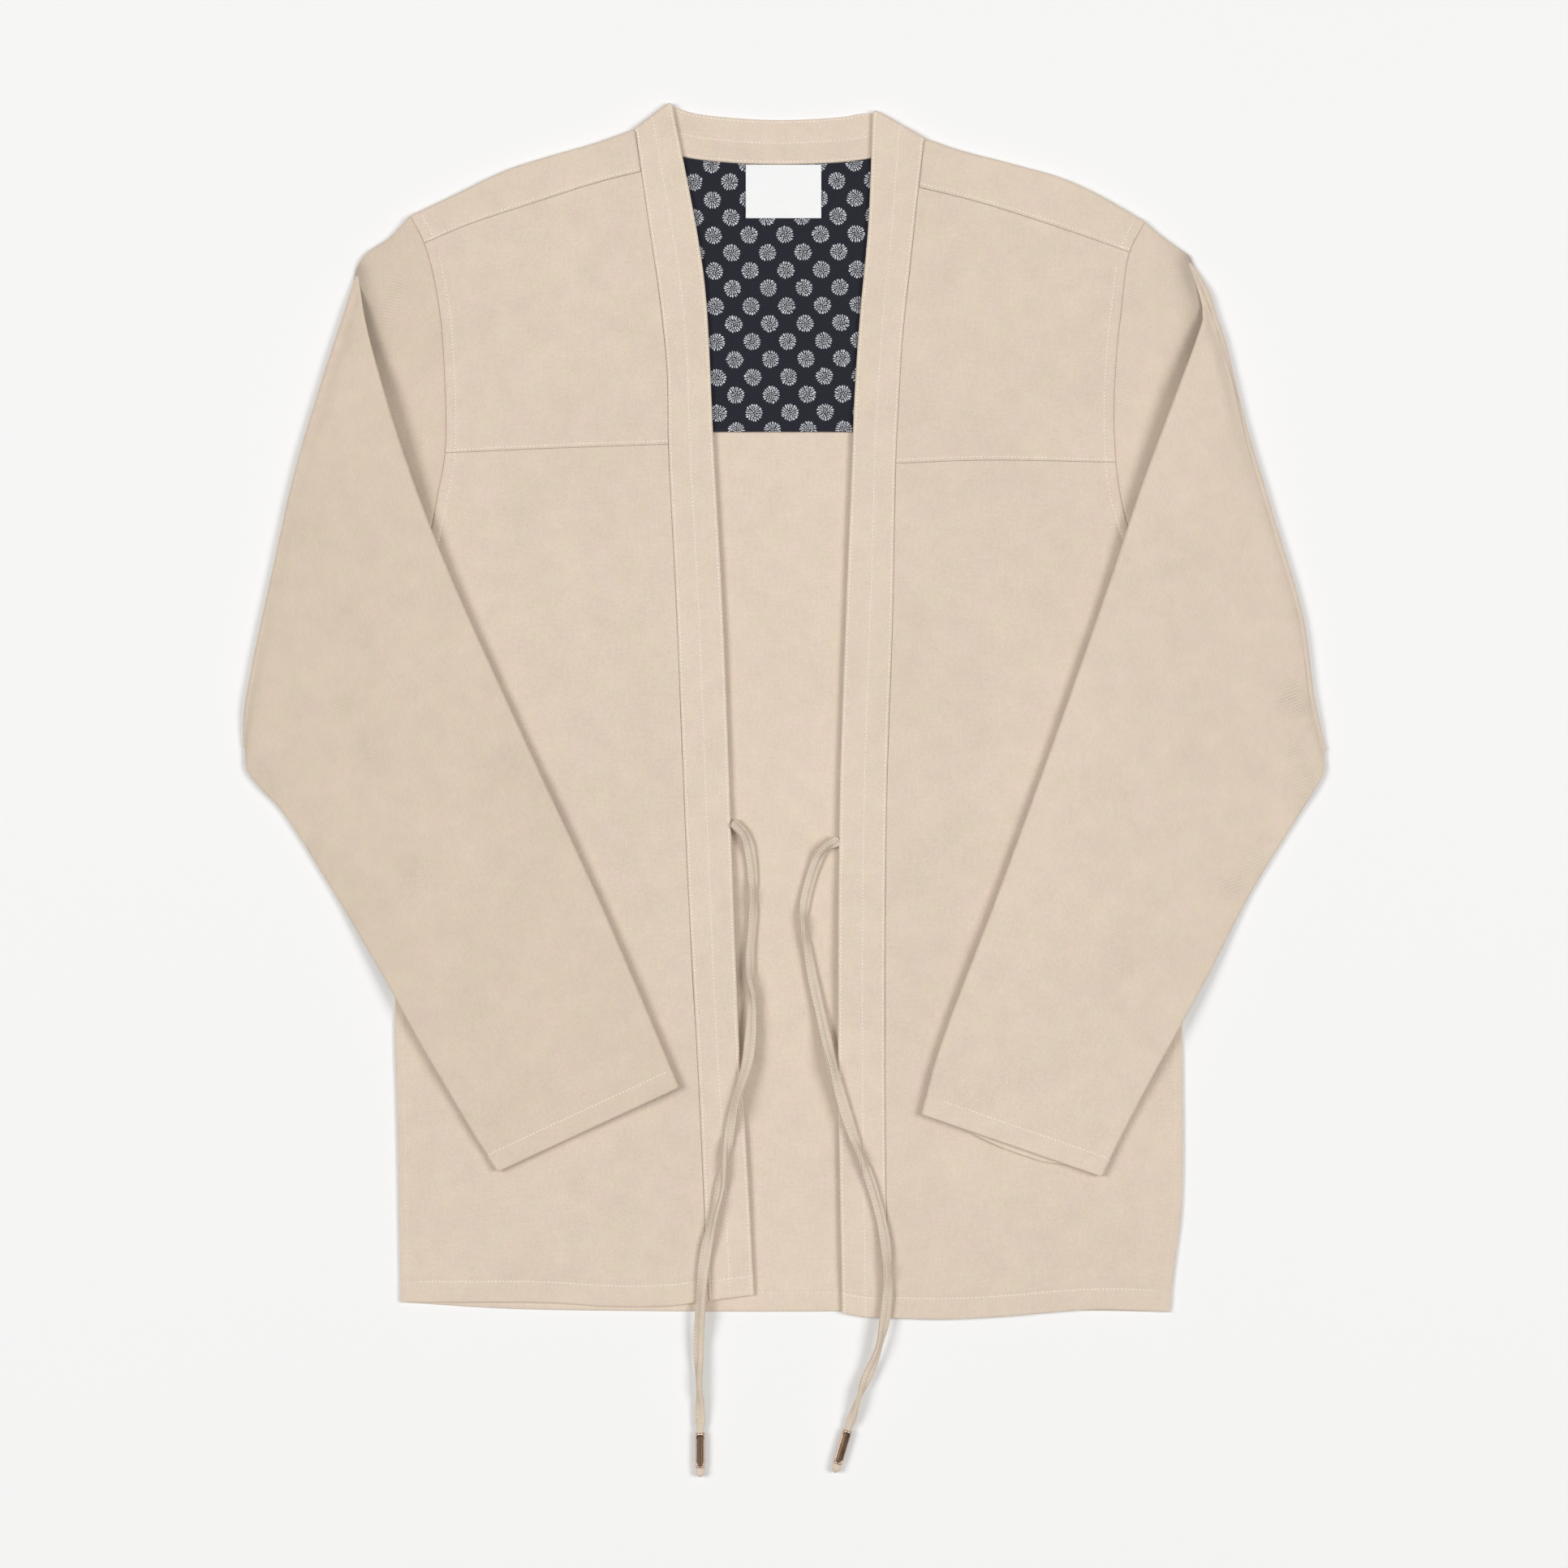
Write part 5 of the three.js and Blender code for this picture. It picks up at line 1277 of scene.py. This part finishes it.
def collar():
    """One doubled strip from hem to hem round the neck, turned over at each shoulder."""
    by_edge = ROUND + row_marks(BAND_ROW, 0.55)
    across = ticks(BAND_SIZE["wide"], by_edge, by_edge, 1.7)
    gap = SEAM / 2
    folds = [band_fold(half) for _, half in SIDES]
    runs = []
    for (side, half), (_, outer, inner) in zip(SIDES, folds):
        seam, edge = band_lines(half)
        place = span(straight(outer, inner), Line(half["bandHem"]), seam, edge)
        by_hem = ROUND + [2.5, 5, 8] + row_marks(BAND_END_ROW)
        v = marks(BAND_SIZE["run"], [0, 1, 2.5, 5], by_hem, 3.4)
        w = gap_of(seam, edge)(v)
        c = across(w - gap)
        U = gap / w[:, None] + c * (1 - gap / w[:, None])
        P = place(U, across_rows(v, U.shape))
        y = P[..., 1]
        soft = 0.22 * drift(y, y * 0, 70, 41 if side == "right" else 43)
        soft = soft * ease(v * 12)[:, None] * (0.3 + 0.7 * U)
        P[..., 2] = settle(y) + band_lift(half, y, U) + soft
        runs.append((P, c, w - gap, (1 - v) * BAND_SIZE["run"]))
    (run_r, c_r, w_r, hem_r), (run_l, c_l, w_l, hem_l) = runs
    (out_r, seam_r, edge_r), (out_l, seam_l, edge_l) = folds

    un = np.linspace(0, 1, 71)
    top = Line([tuple(edge_r)] + NECK_TOP + [tuple(edge_l)])
    bottom = Line([tuple(seam_r)] + NECK_SEAM + [tuple(seam_l)])
    place = span(top, bottom, straight(edge_r, seam_r), straight(edge_l, seam_l))
    wn = np.linalg.norm(top.at(un) - bottom.at(un), axis=-1)
    c_neck = across(wn - gap)
    c_neck[0], c_neck[-1] = c_r[0], c_l[0]
    U = gap / wn[:, None] + c_neck * (1 - gap / wn[:, None])
    neck = place(across_rows(un, U.shape), 1 - U)
    neck[..., 2] = BAND / 2
    neck[0, :, :2], neck[-1, :, :2] = run_r[0, :, :2], run_l[0, :, :2]

    # the right run from its hem, its fold, the neck, the left fold, the left run to its hem
    arc_r = over_turn(neck[0], out_r, BAND_TURN, BAND / 2, 12)[::-1]
    arc_l = over_turn(neck[-1], out_l, BAND_TURN, BAND / 2, 12)
    turns = len(arc_r)
    P = np.concatenate([run_r[::-1], arc_r, neck, arc_l, run_l])
    c = np.concatenate([c_r[::-1], np.repeat(c_r[:1], turns, 0), c_neck, np.repeat(c_l[:1], turns, 0), c_l])
    w = np.concatenate([w_r[::-1], np.repeat(w_r[0], turns), wn - gap, np.repeat(w_l[0], turns), w_l])
    hem = np.concatenate([hem_r[::-1], np.full(turns + len(un) + turns, 900.0), hem_l])
    fold_r, neck_0 = len(run_r), len(run_r) + turns
    fold_l, left_0 = neck_0 + len(un), neck_0 + len(un) + turns

    seam_d, edge_d = c * w[:, None], (1 - c) * w[:, None]
    mid_d = seam_d - w[:, None] * 0.48
    hem_d = across_rows(hem, P.shape[:2])
    along = across_rows(lengths_along(P.mean(1)), P.shape[:2])
    rows = dip(seam_d, BAND_ROW, 0.26, 0.6) + dip(edge_d, BAND_ROW, 0.26, 0.6) + dip(mid_d, 0, 0.26, 0.8)
    puff = 0.16 * np.abs(np.sin(math.pi * np.clip(c, 0, 1) * 2)) ** 0.7
    wrinkle = (pucker(along, mid_d, 0, 11, 0.10, 7, seed=51)
               + pucker(along, edge_d, BAND_ROW, 8, 0.08, 4, seed=52))
    relief = rows + puff + wrinkle + dip(hem_d, BAND_END_ROW, 0.28, 0.8)
    h = BAND / 2 * np.maximum(rounded(seam_d, 1.15) * rounded(edge_d, 1.15) * rounded(hem_d, 1.0), 0.08)
    fold_rub_and_shade = np.zeros(len(P))
    fold_rub_and_shade[fold_r:neck_0] = fold_rub_and_shade[fold_l:left_0] = 0.12
    at_neck = np.zeros(len(P))
    at_neck[neck_0:fold_l] = ease(np.minimum(un, 1 - un) * 8)
    # paler along the free edge, the hem, the seam and at the turns over the shoulders; darker over the seam
    # half of the band behind the neck
    rub_and_shade = (0.22 * np.exp(-edge_d / 0.9) + 0.12 * np.exp(-hem_d / 1.0) + 0.08 * np.exp(-seam_d / 1.0)
            + fold_rub_and_shade[:, None] - 0.14 * at_neck[:, None] * ease((0.5 - c) / 0.05))
    cloth = Cloth()
    cloth.grid(P, np.stack([seam_d, along], -1), h, relief, rows + puff, rub_and_shade)
    obj, (S,) = cloth.wall("collar_band", MAT_BAND, (0, 40, 12))

    # rows along the band are sewn on the faces that show
    seen = [(0, fold_r + 3, "outer"), (neck_0 - 3, fold_l + 3, "inner"),
            (left_0 - 3, len(P), "outer"), (neck_0 + 4, fold_l - 4, "outer")]
    for lo, hi, key in seen:
        part = {k: v[lo:hi] for k, v in S.items()}
        for dist, at in ((seam_d, BAND_ROW), (edge_d, BAND_ROW), (mid_d, 0.0)):
            collar_thread.sew(contour(part, dist[lo:hi], at, 1, key))
    for lo, hi in ((0, fold_r), (left_0, len(P))):
        part = {k: v[lo:hi] for k, v in S.items()}
        collar_thread.sew(contour(part, hem_d[lo:hi], BAND_END_ROW, 0))
    return obj


def label():
    """A bare satin rectangle, its two side edges turned under."""
    x0, x1, y0, y1 = (LABEL[k] for k in ("x0", "x1", "y0", "y1"))
    by_edge = ROUND + [1.6, 2.2]
    u = marks(x1 - x0, by_edge, by_edge, 1.5)
    v = marks(y1 - y0, by_edge, by_edge, 1.5)
    X, Y = np.meshgrid(mix(x0, x1, u), mix(y1, y0, v))
    down = (y1 - Y) / (y1 - y0)
    P = np.stack([X, Y, LABEL_Z + 0.5 * down ** 2 + 0.12 * drift(X, Y, 30, 61) * down], -1)
    D = dict(a=X - x0, b=x1 - X, top=y1 - Y, bottom=Y - y0)
    turned = 0.12 * (1 - ease((np.minimum(D["a"], D["b"]) - 1.6) / 0.5))
    cloth = Cloth()
    cloth.grid(P, plan_uv(P), thick(D, ("a", "b", "top", "bottom"), 0.7, 0.5), turned)
    obj, _ = cloth.wall("label_bare", MAT_LABEL, (0, 5, 5))
    return obj


# ---- sleeves ----------------------------------------------------------------------------------
# Rows of a sleeve: shares of the way from the armhole to the fold, distances in from the cuff.
TO_FOLD = [0, 0.006, 0.018, 0.04, 0.08, 0.14, 0.21, 0.29, 0.37, 0.45, 0.53, 0.61, 0.69, 0.77, 0.85, 0.93]
IN_FROM_CUFF = [30, 26, 22, 18, 15.5, 13.3, 12.9, 12.5, 12.1, 11.7, 9, 6, 3.5, 1.6, 0.95, 0.5, 0.22, 0.07, 0]


def sleeve(side, half):
    """An open tube that leaves the armhole flat, rolls over along its fold and lies on the front."""
    arm = Arm(half)
    sign = half["sign"]
    outline = Line(half["fold"])

    def out(f):
        g = outline.heading(np.minimum(f, 0.97), 0.02)
        return np.stack([-g[..., 1], g[..., 0], 0 * g[..., 0]], -1) * -sign

    def pinch(f):
        """The fold is pressed tighter towards its two ends."""
        return mix(0.42, 1, ease(np.minimum(f, 1 - f) * outline.length / 26))
    f = np.linspace(0, 1, 300)
    axis = Line(outline.at(f) - out(f) * (FOLD_OUT * pinch(f) + CLOTH / 2)[:, None], False)
    axis.s, axis.length = f, outline.length
    top, elbow = axis.at(0.0), axis.at(1.0)
    pit = half["underarm"][0]
    corner = outline.at(0.0)
    bulge = (corner[0] - sign * 0.8, corner[1] + 3.2)
    upper_edge = Line(half["overarm"][:-1] + [bulge, tuple(top[:2])])
    natural = span(arm.line, axis, upper_edge, straight(pit, elbow))
    over = Line([tuple(top[:2])] + half["overarmFolded"][1:])
    under = Line([tuple(elbow[:2])] + half["underarmFolded"][1:])
    folded = span(axis, straight(over.at(1.0), under.at(1.0)), over, under)

    # w runs across the tube; its columns lie closer together by the two edges
    n = 58
    w = np.linspace(0, 1, n)
    w = w - 0.165 * np.sin(2 * math.pi * w) / (2 * math.pi)

    def share(length, e0, e1):
        """Columns that leave room for the round edges at the ends of a row."""
        return mix((e0 + CLOTH / 2) / length, 1 - (e1 + CLOTH / 2) / length, w)
    mids, ups, halves = [], [], []

    def add(mid, up, gap):
        mids.append(mid)
        ups.append(up)
        halves.append(gap)

    # from the armhole to the fold, between the heights of the back and the front
    at_top, at_pit = TURN, (SIDE_Z - BACK_Z) / 2 + ARMPIT_ROOM
    fold_half, fold_mid = (FOLD_OUT - FOLD_IN) / 2, (FOLD_OUT + FOLD_IN) / 2
    up_z = np.tile([0.0, 0.0, 1.0], (n, 1))
    seed = 71 if sign < 0 else 83
    for s in TO_FOLD:
        u = share(arm.line.length, mix(at_top, fold_half, s), mix(at_pit, fold_half, s))
        seam_room = SEAM / 2 * (1 + 4.5 * u ** 6) / mix(46, 127, u)
        p = natural(u, np.maximum(s, seam_room) + 0.0004 * (s > 0))
        x, y = p[:, 0], p[:, 1]
        at = arm.line.at(u)
        z = mix(front_height(half, at[:, 0], at[:, 1], False), BACK_Z + 2 * fold_half * pinch(u), s)
        z = z + 0.35 * math.sin(math.pi * s) * (drift(x, y, 60, seed) * 0.6 + 0.2)
        # a soft ridge beside the folded part
        ridge = np.exp(-((reach(half["overarmFolded"], x, y) - 15) / 9) ** 2)
        z = z + 1.5 * math.sin(math.pi * s) * ridge * ease((y - 120) / 90)
        gap = (z - BACK_Z) / 2
        p[:, 2] = BACK_Z + gap
        add(p, up_z, gap)
    n_natural = len(mids)

    # half a turn round the fold's axis
    u = share(axis.length, fold_half, fold_half)
    way, tight = out(u), pinch(u)
    for turn in math.pi * np.linspace(0, 1, 13):
        p = axis.at(u) + way * (fold_mid * tight * math.sin(turn))[:, None]
        p[:, 2] = BACK_Z + (FOLD_OUT - fold_mid * math.cos(turn)) * tight
        up = -way * math.sin(turn)
        up[:, 2] = math.cos(turn)
        add(p, up, fold_half * tight)
    n_fold = len(mids)

    # from the fold to the cuff, resting on the front and, past the jacket's side, on the floor
    side_pts = Line(half["sideSeam"]).at(np.linspace(0, 1, 41))[:, :2]
    edge = [elbow[:2], pit] + list(side_pts[1:])
    axis_pts = axis.at(np.linspace(0, 1, 31))[:, :2]

    def beside(x, y):
        """Distance out past the jacket's side; less than 0 over the jacket."""
        below = (x - pit[0]) * (elbow[1] - pit[1]) - (y - pit[1]) * (elbow[0] - pit[0])
        past = (sign * x > abs(side_pts[0][0])) | (y < pit[1])
        side_x = np.interp(-y, -side_pts[:, 1], np.abs(side_pts[:, 0]))
        r = reach(edge, x, y)
        return np.where(past & (sign * below > 0) & (sign * x - side_x > 0), r, -r)
    length = over.length
    lengths = mix(length, under.length, w)

    def run_down(s):
        """Share down each column, so that the rows near the cuff lie parallel to it."""
        d = (1 - s) * length
        return 1 - d * mix(1 / lengths, 1 / length, ease((d - 30) / 150))
    cuff = 1 - np.array(IN_FROM_CUFF) / length
    by_fold = [0.006, 0.014, 0.024, 0.036, 0.05]
    downs = np.concatenate([by_fold, np.linspace(0.065, cuff[0] - 0.008, 132), cuff])
    for s in downs:
        opened = ease(s / 0.15)
        gap0 = mix(fold_half, SLEEVE_HALF, opened)
        width = np.linalg.norm(folded(0.0, s) - folded(1.0, s))
        p = folded(share(width, gap0, gap0), run_down(s))
        x, y = p[:, 0], p[:, 1]
        from_fold = reach(axis_pts, x, y)
        over_z = mix(SLEEVE_FRONT_Z, FRONT_Z, ease(from_fold / 60))
        cover = 1 - ease((beside(x, y) + 10) / DRAPE)
        rise = 7.0 * (1 - w) ** 2.2 * math.exp(-(((s - 0.12) / 0.16) ** 2)) + 1.2 * (1 - w) ** 3
        body = np.sin(math.pi * np.clip(w, 0, 1)) ** 0.6 * ease(s / 0.12)
        soft = 0.45 + 0.45 * drift(x, y, 130, seed + 1) + 0.16 * drift(x, y, 48, seed + 2)
        puff = np.maximum(body * soft * (1 - 0.6 * ease((s - 0.93) / 0.07)), -0.35)
        rest = mix(BACK_Z, over_z + SLEEVE_REST, cover) + gap0
        wave = 0.18 * (1 + drift(x, y, 90, seed + 3)) * ease(s / 0.1) * cover
        rolled = BACK_Z + (FOLD_OUT + fold_mid) * tight
        p[:, 2] = mix(rolled, rest, ease(from_fold / 40)) + rise * ease(from_fold / 9) + puff / 2 + wave
        add(p, -up_z, mix(fold_half * tight, SLEEVE_HALF, opened) + puff / 2)

    # two layers and the round edges that join them
    M, U, H = np.array(mids), np.array(ups), np.array(halves)
    backs, fronts = M - U * H[..., None], M + U * H[..., None]
    if sign > 0:
        # the lower layer of this cuff shows a few millimetres past the upper one
        down_tube = unit(M[-1] - M[-12])
        ramp = np.zeros(len(M))
        ramp[n_fold:] = ease((downs - 0.90) / 0.10)
        peek = 3.6 * ease((w - 0.14) / 0.36) * (1 - ease((w - 0.66) / 0.2))
        fronts = fronts + down_tube * (ramp[:, None] * peek)[..., None]
    angles = np.linspace(0, math.pi, 9)[1:-1]

    def round_edge(i, j):
        """Columns round the tube's edge at column i, away from column j."""
        o = M[:, i] - M[:, j]
        o = unit(o - U[:, i] * np.sum(o * U[:, i], -1, keepdims=True))
        h = H[:, i][:, None]
        return np.stack([M[:, i] + o * h * math.sin(t) - U[:, i] * h * math.cos(t) for t in angles], 1)
    under_edge, over_edge = round_edge(-1, -2), round_edge(0, 1)[:, ::-1]
    P = np.concatenate([backs, under_edge, fronts[:, ::-1], over_edge, backs[:, :1]], 1)
    steps = np.linalg.norm(np.diff(P, axis=1), axis=-1)
    ring = np.concatenate([np.zeros((len(P), 1)), np.cumsum(steps, 1)], 1)
    run = lengths_along(P.mean(1))
    from_arm = across_rows(run, P.shape[:2])
    to_cuff = np.full(len(P), 900.0)
    to_cuff[n_fold:] = (1 - downs) * length
    to_cuff = across_rows(to_cuff, P.shape[:2])
    h = CLOTH / 2 * np.maximum(rounded(to_cuff, 0.95) * rounded(from_arm, 0.9), 0.1)
    hem = (bulk(to_cuff, CUFF_ROW, 0.22) + dip(to_cuff, CUFF_ROW, 0.28)
           + pucker(ring, to_cuff, CUFF_ROW, 10, 0.10, 5, seed=seed + 4))
    # painted shade: a darker line along the outer turn of the fold
    from_turn = np.abs(run - run[(n_natural + n_fold) // 2])
    fold_rub_and_shade = -0.14 * np.exp(-(from_turn / 4.5) ** 2)
    n_edge = len(angles)
    edge_wear = np.zeros(P.shape[1])
    edge_wear[n:n + n_edge] = edge_wear[2 * n + n_edge:] = 0.05
    rub_and_shade = 0.16 * np.exp(-to_cuff / 1.0) + fold_rub_and_shade[:, None] + edge_wear
    # painted shade: the hollow beside the start of the folded part, which the flap shades, is painted darker
    x, y = P[:n_natural, :, 0], P[:n_natural, :, 1]
    flap_shade = np.exp(-(reach(half["overarmFolded"][:6], x, y) / 8) ** 2)
    rub_and_shade[:n_natural] -= 1.8 * flap_shade * ease((y - 190) / 60)
    cloth = Cloth()
    cloth.grid(P, np.stack([ring, from_arm], -1), h, hem, 0.1 * ease(1 - to_cuff / 13), rub_and_shade)
    obj, (S,) = cloth.wall(f"sleeve_shell_{side}", MAT_SLEEVE[side], (0, len(P) - 40, n // 2))
    part = {k: v[n_fold:] for k, v in S.items()}
    row, normals = contour(part, to_cuff[n_fold:], CUFF_ROW, 0)
    upper = slice(1, n + 2) if sign < 0 else slice(5, n)
    lower = slice(n + n_edge, 2 * n + n_edge)
    for layer in (upper, lower):
        sleeve_thread.sew((row[layer], normals[layer]))
    return obj


# the same twill in two tints, mostly painted light and shade: darker on the right sleeve, paler on the left
MAT_SLEEVE = dict(right=twill("cotton_twill_sleeve_right", (218, 201, 182)),
                  left=twill("cotton_twill_sleeve_left", (222, 205, 187)))

thread, collar_thread, sleeve_thread = Thread(1), Thread(2), Thread(3)
made = {}
for side, half in SIDES:
    made[f"front_chest_{side}"] = chest(side, half)
    made[f"front_{side}"] = front(side, half)
    made[f"sleeve_{side}"] = sleeve(side, half)
made["back"] = back()
made["back_yoke"] = yoke()
made["yoke_lining"] = lining()
made["label"] = label()
band = collar()
body_stitches = thread.make("stitches_body", MAT_THREAD)
collar_stitches = collar_thread.make("stitches_collar", MAT_THREAD)
sleeve_stitches = sleeve_thread.make("stitches_sleeves", MAT_THREAD)

# ---- bodies -----------------------------------------------------------------------------------
def place_piece(obj, slot, *nodes):
    """A piece of the one rigid body, in the place of the solids named."""
    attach(obj, "root")
    if nodes:
        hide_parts(*nodes)


SLOTS = {"yoke_lining": "lining", "label": "label"}
for node, obj in made.items():
    place_piece(obj, SLOTS.get(node, "cloth"), node)
place_piece(band, "cloth", "collar_neck", "collar_right", "collar_left")
for obj in (body_stitches, collar_stitches, sleeve_stitches):
    place_piece(obj, "cloth")
for side, (tie, sewn, tip, route, length) in cords.items():
    place_piece(tie, "cloth", f"tie_{side}")
    place_piece(sewn, "cloth")
    place_piece(tip, "aglet", f"aglet_{side}")
    path = [tuple(p) for p in route[::6] * MM] + [tuple(route[-1] * MM)]
    tuple(route[0] * MM)
    length * MM
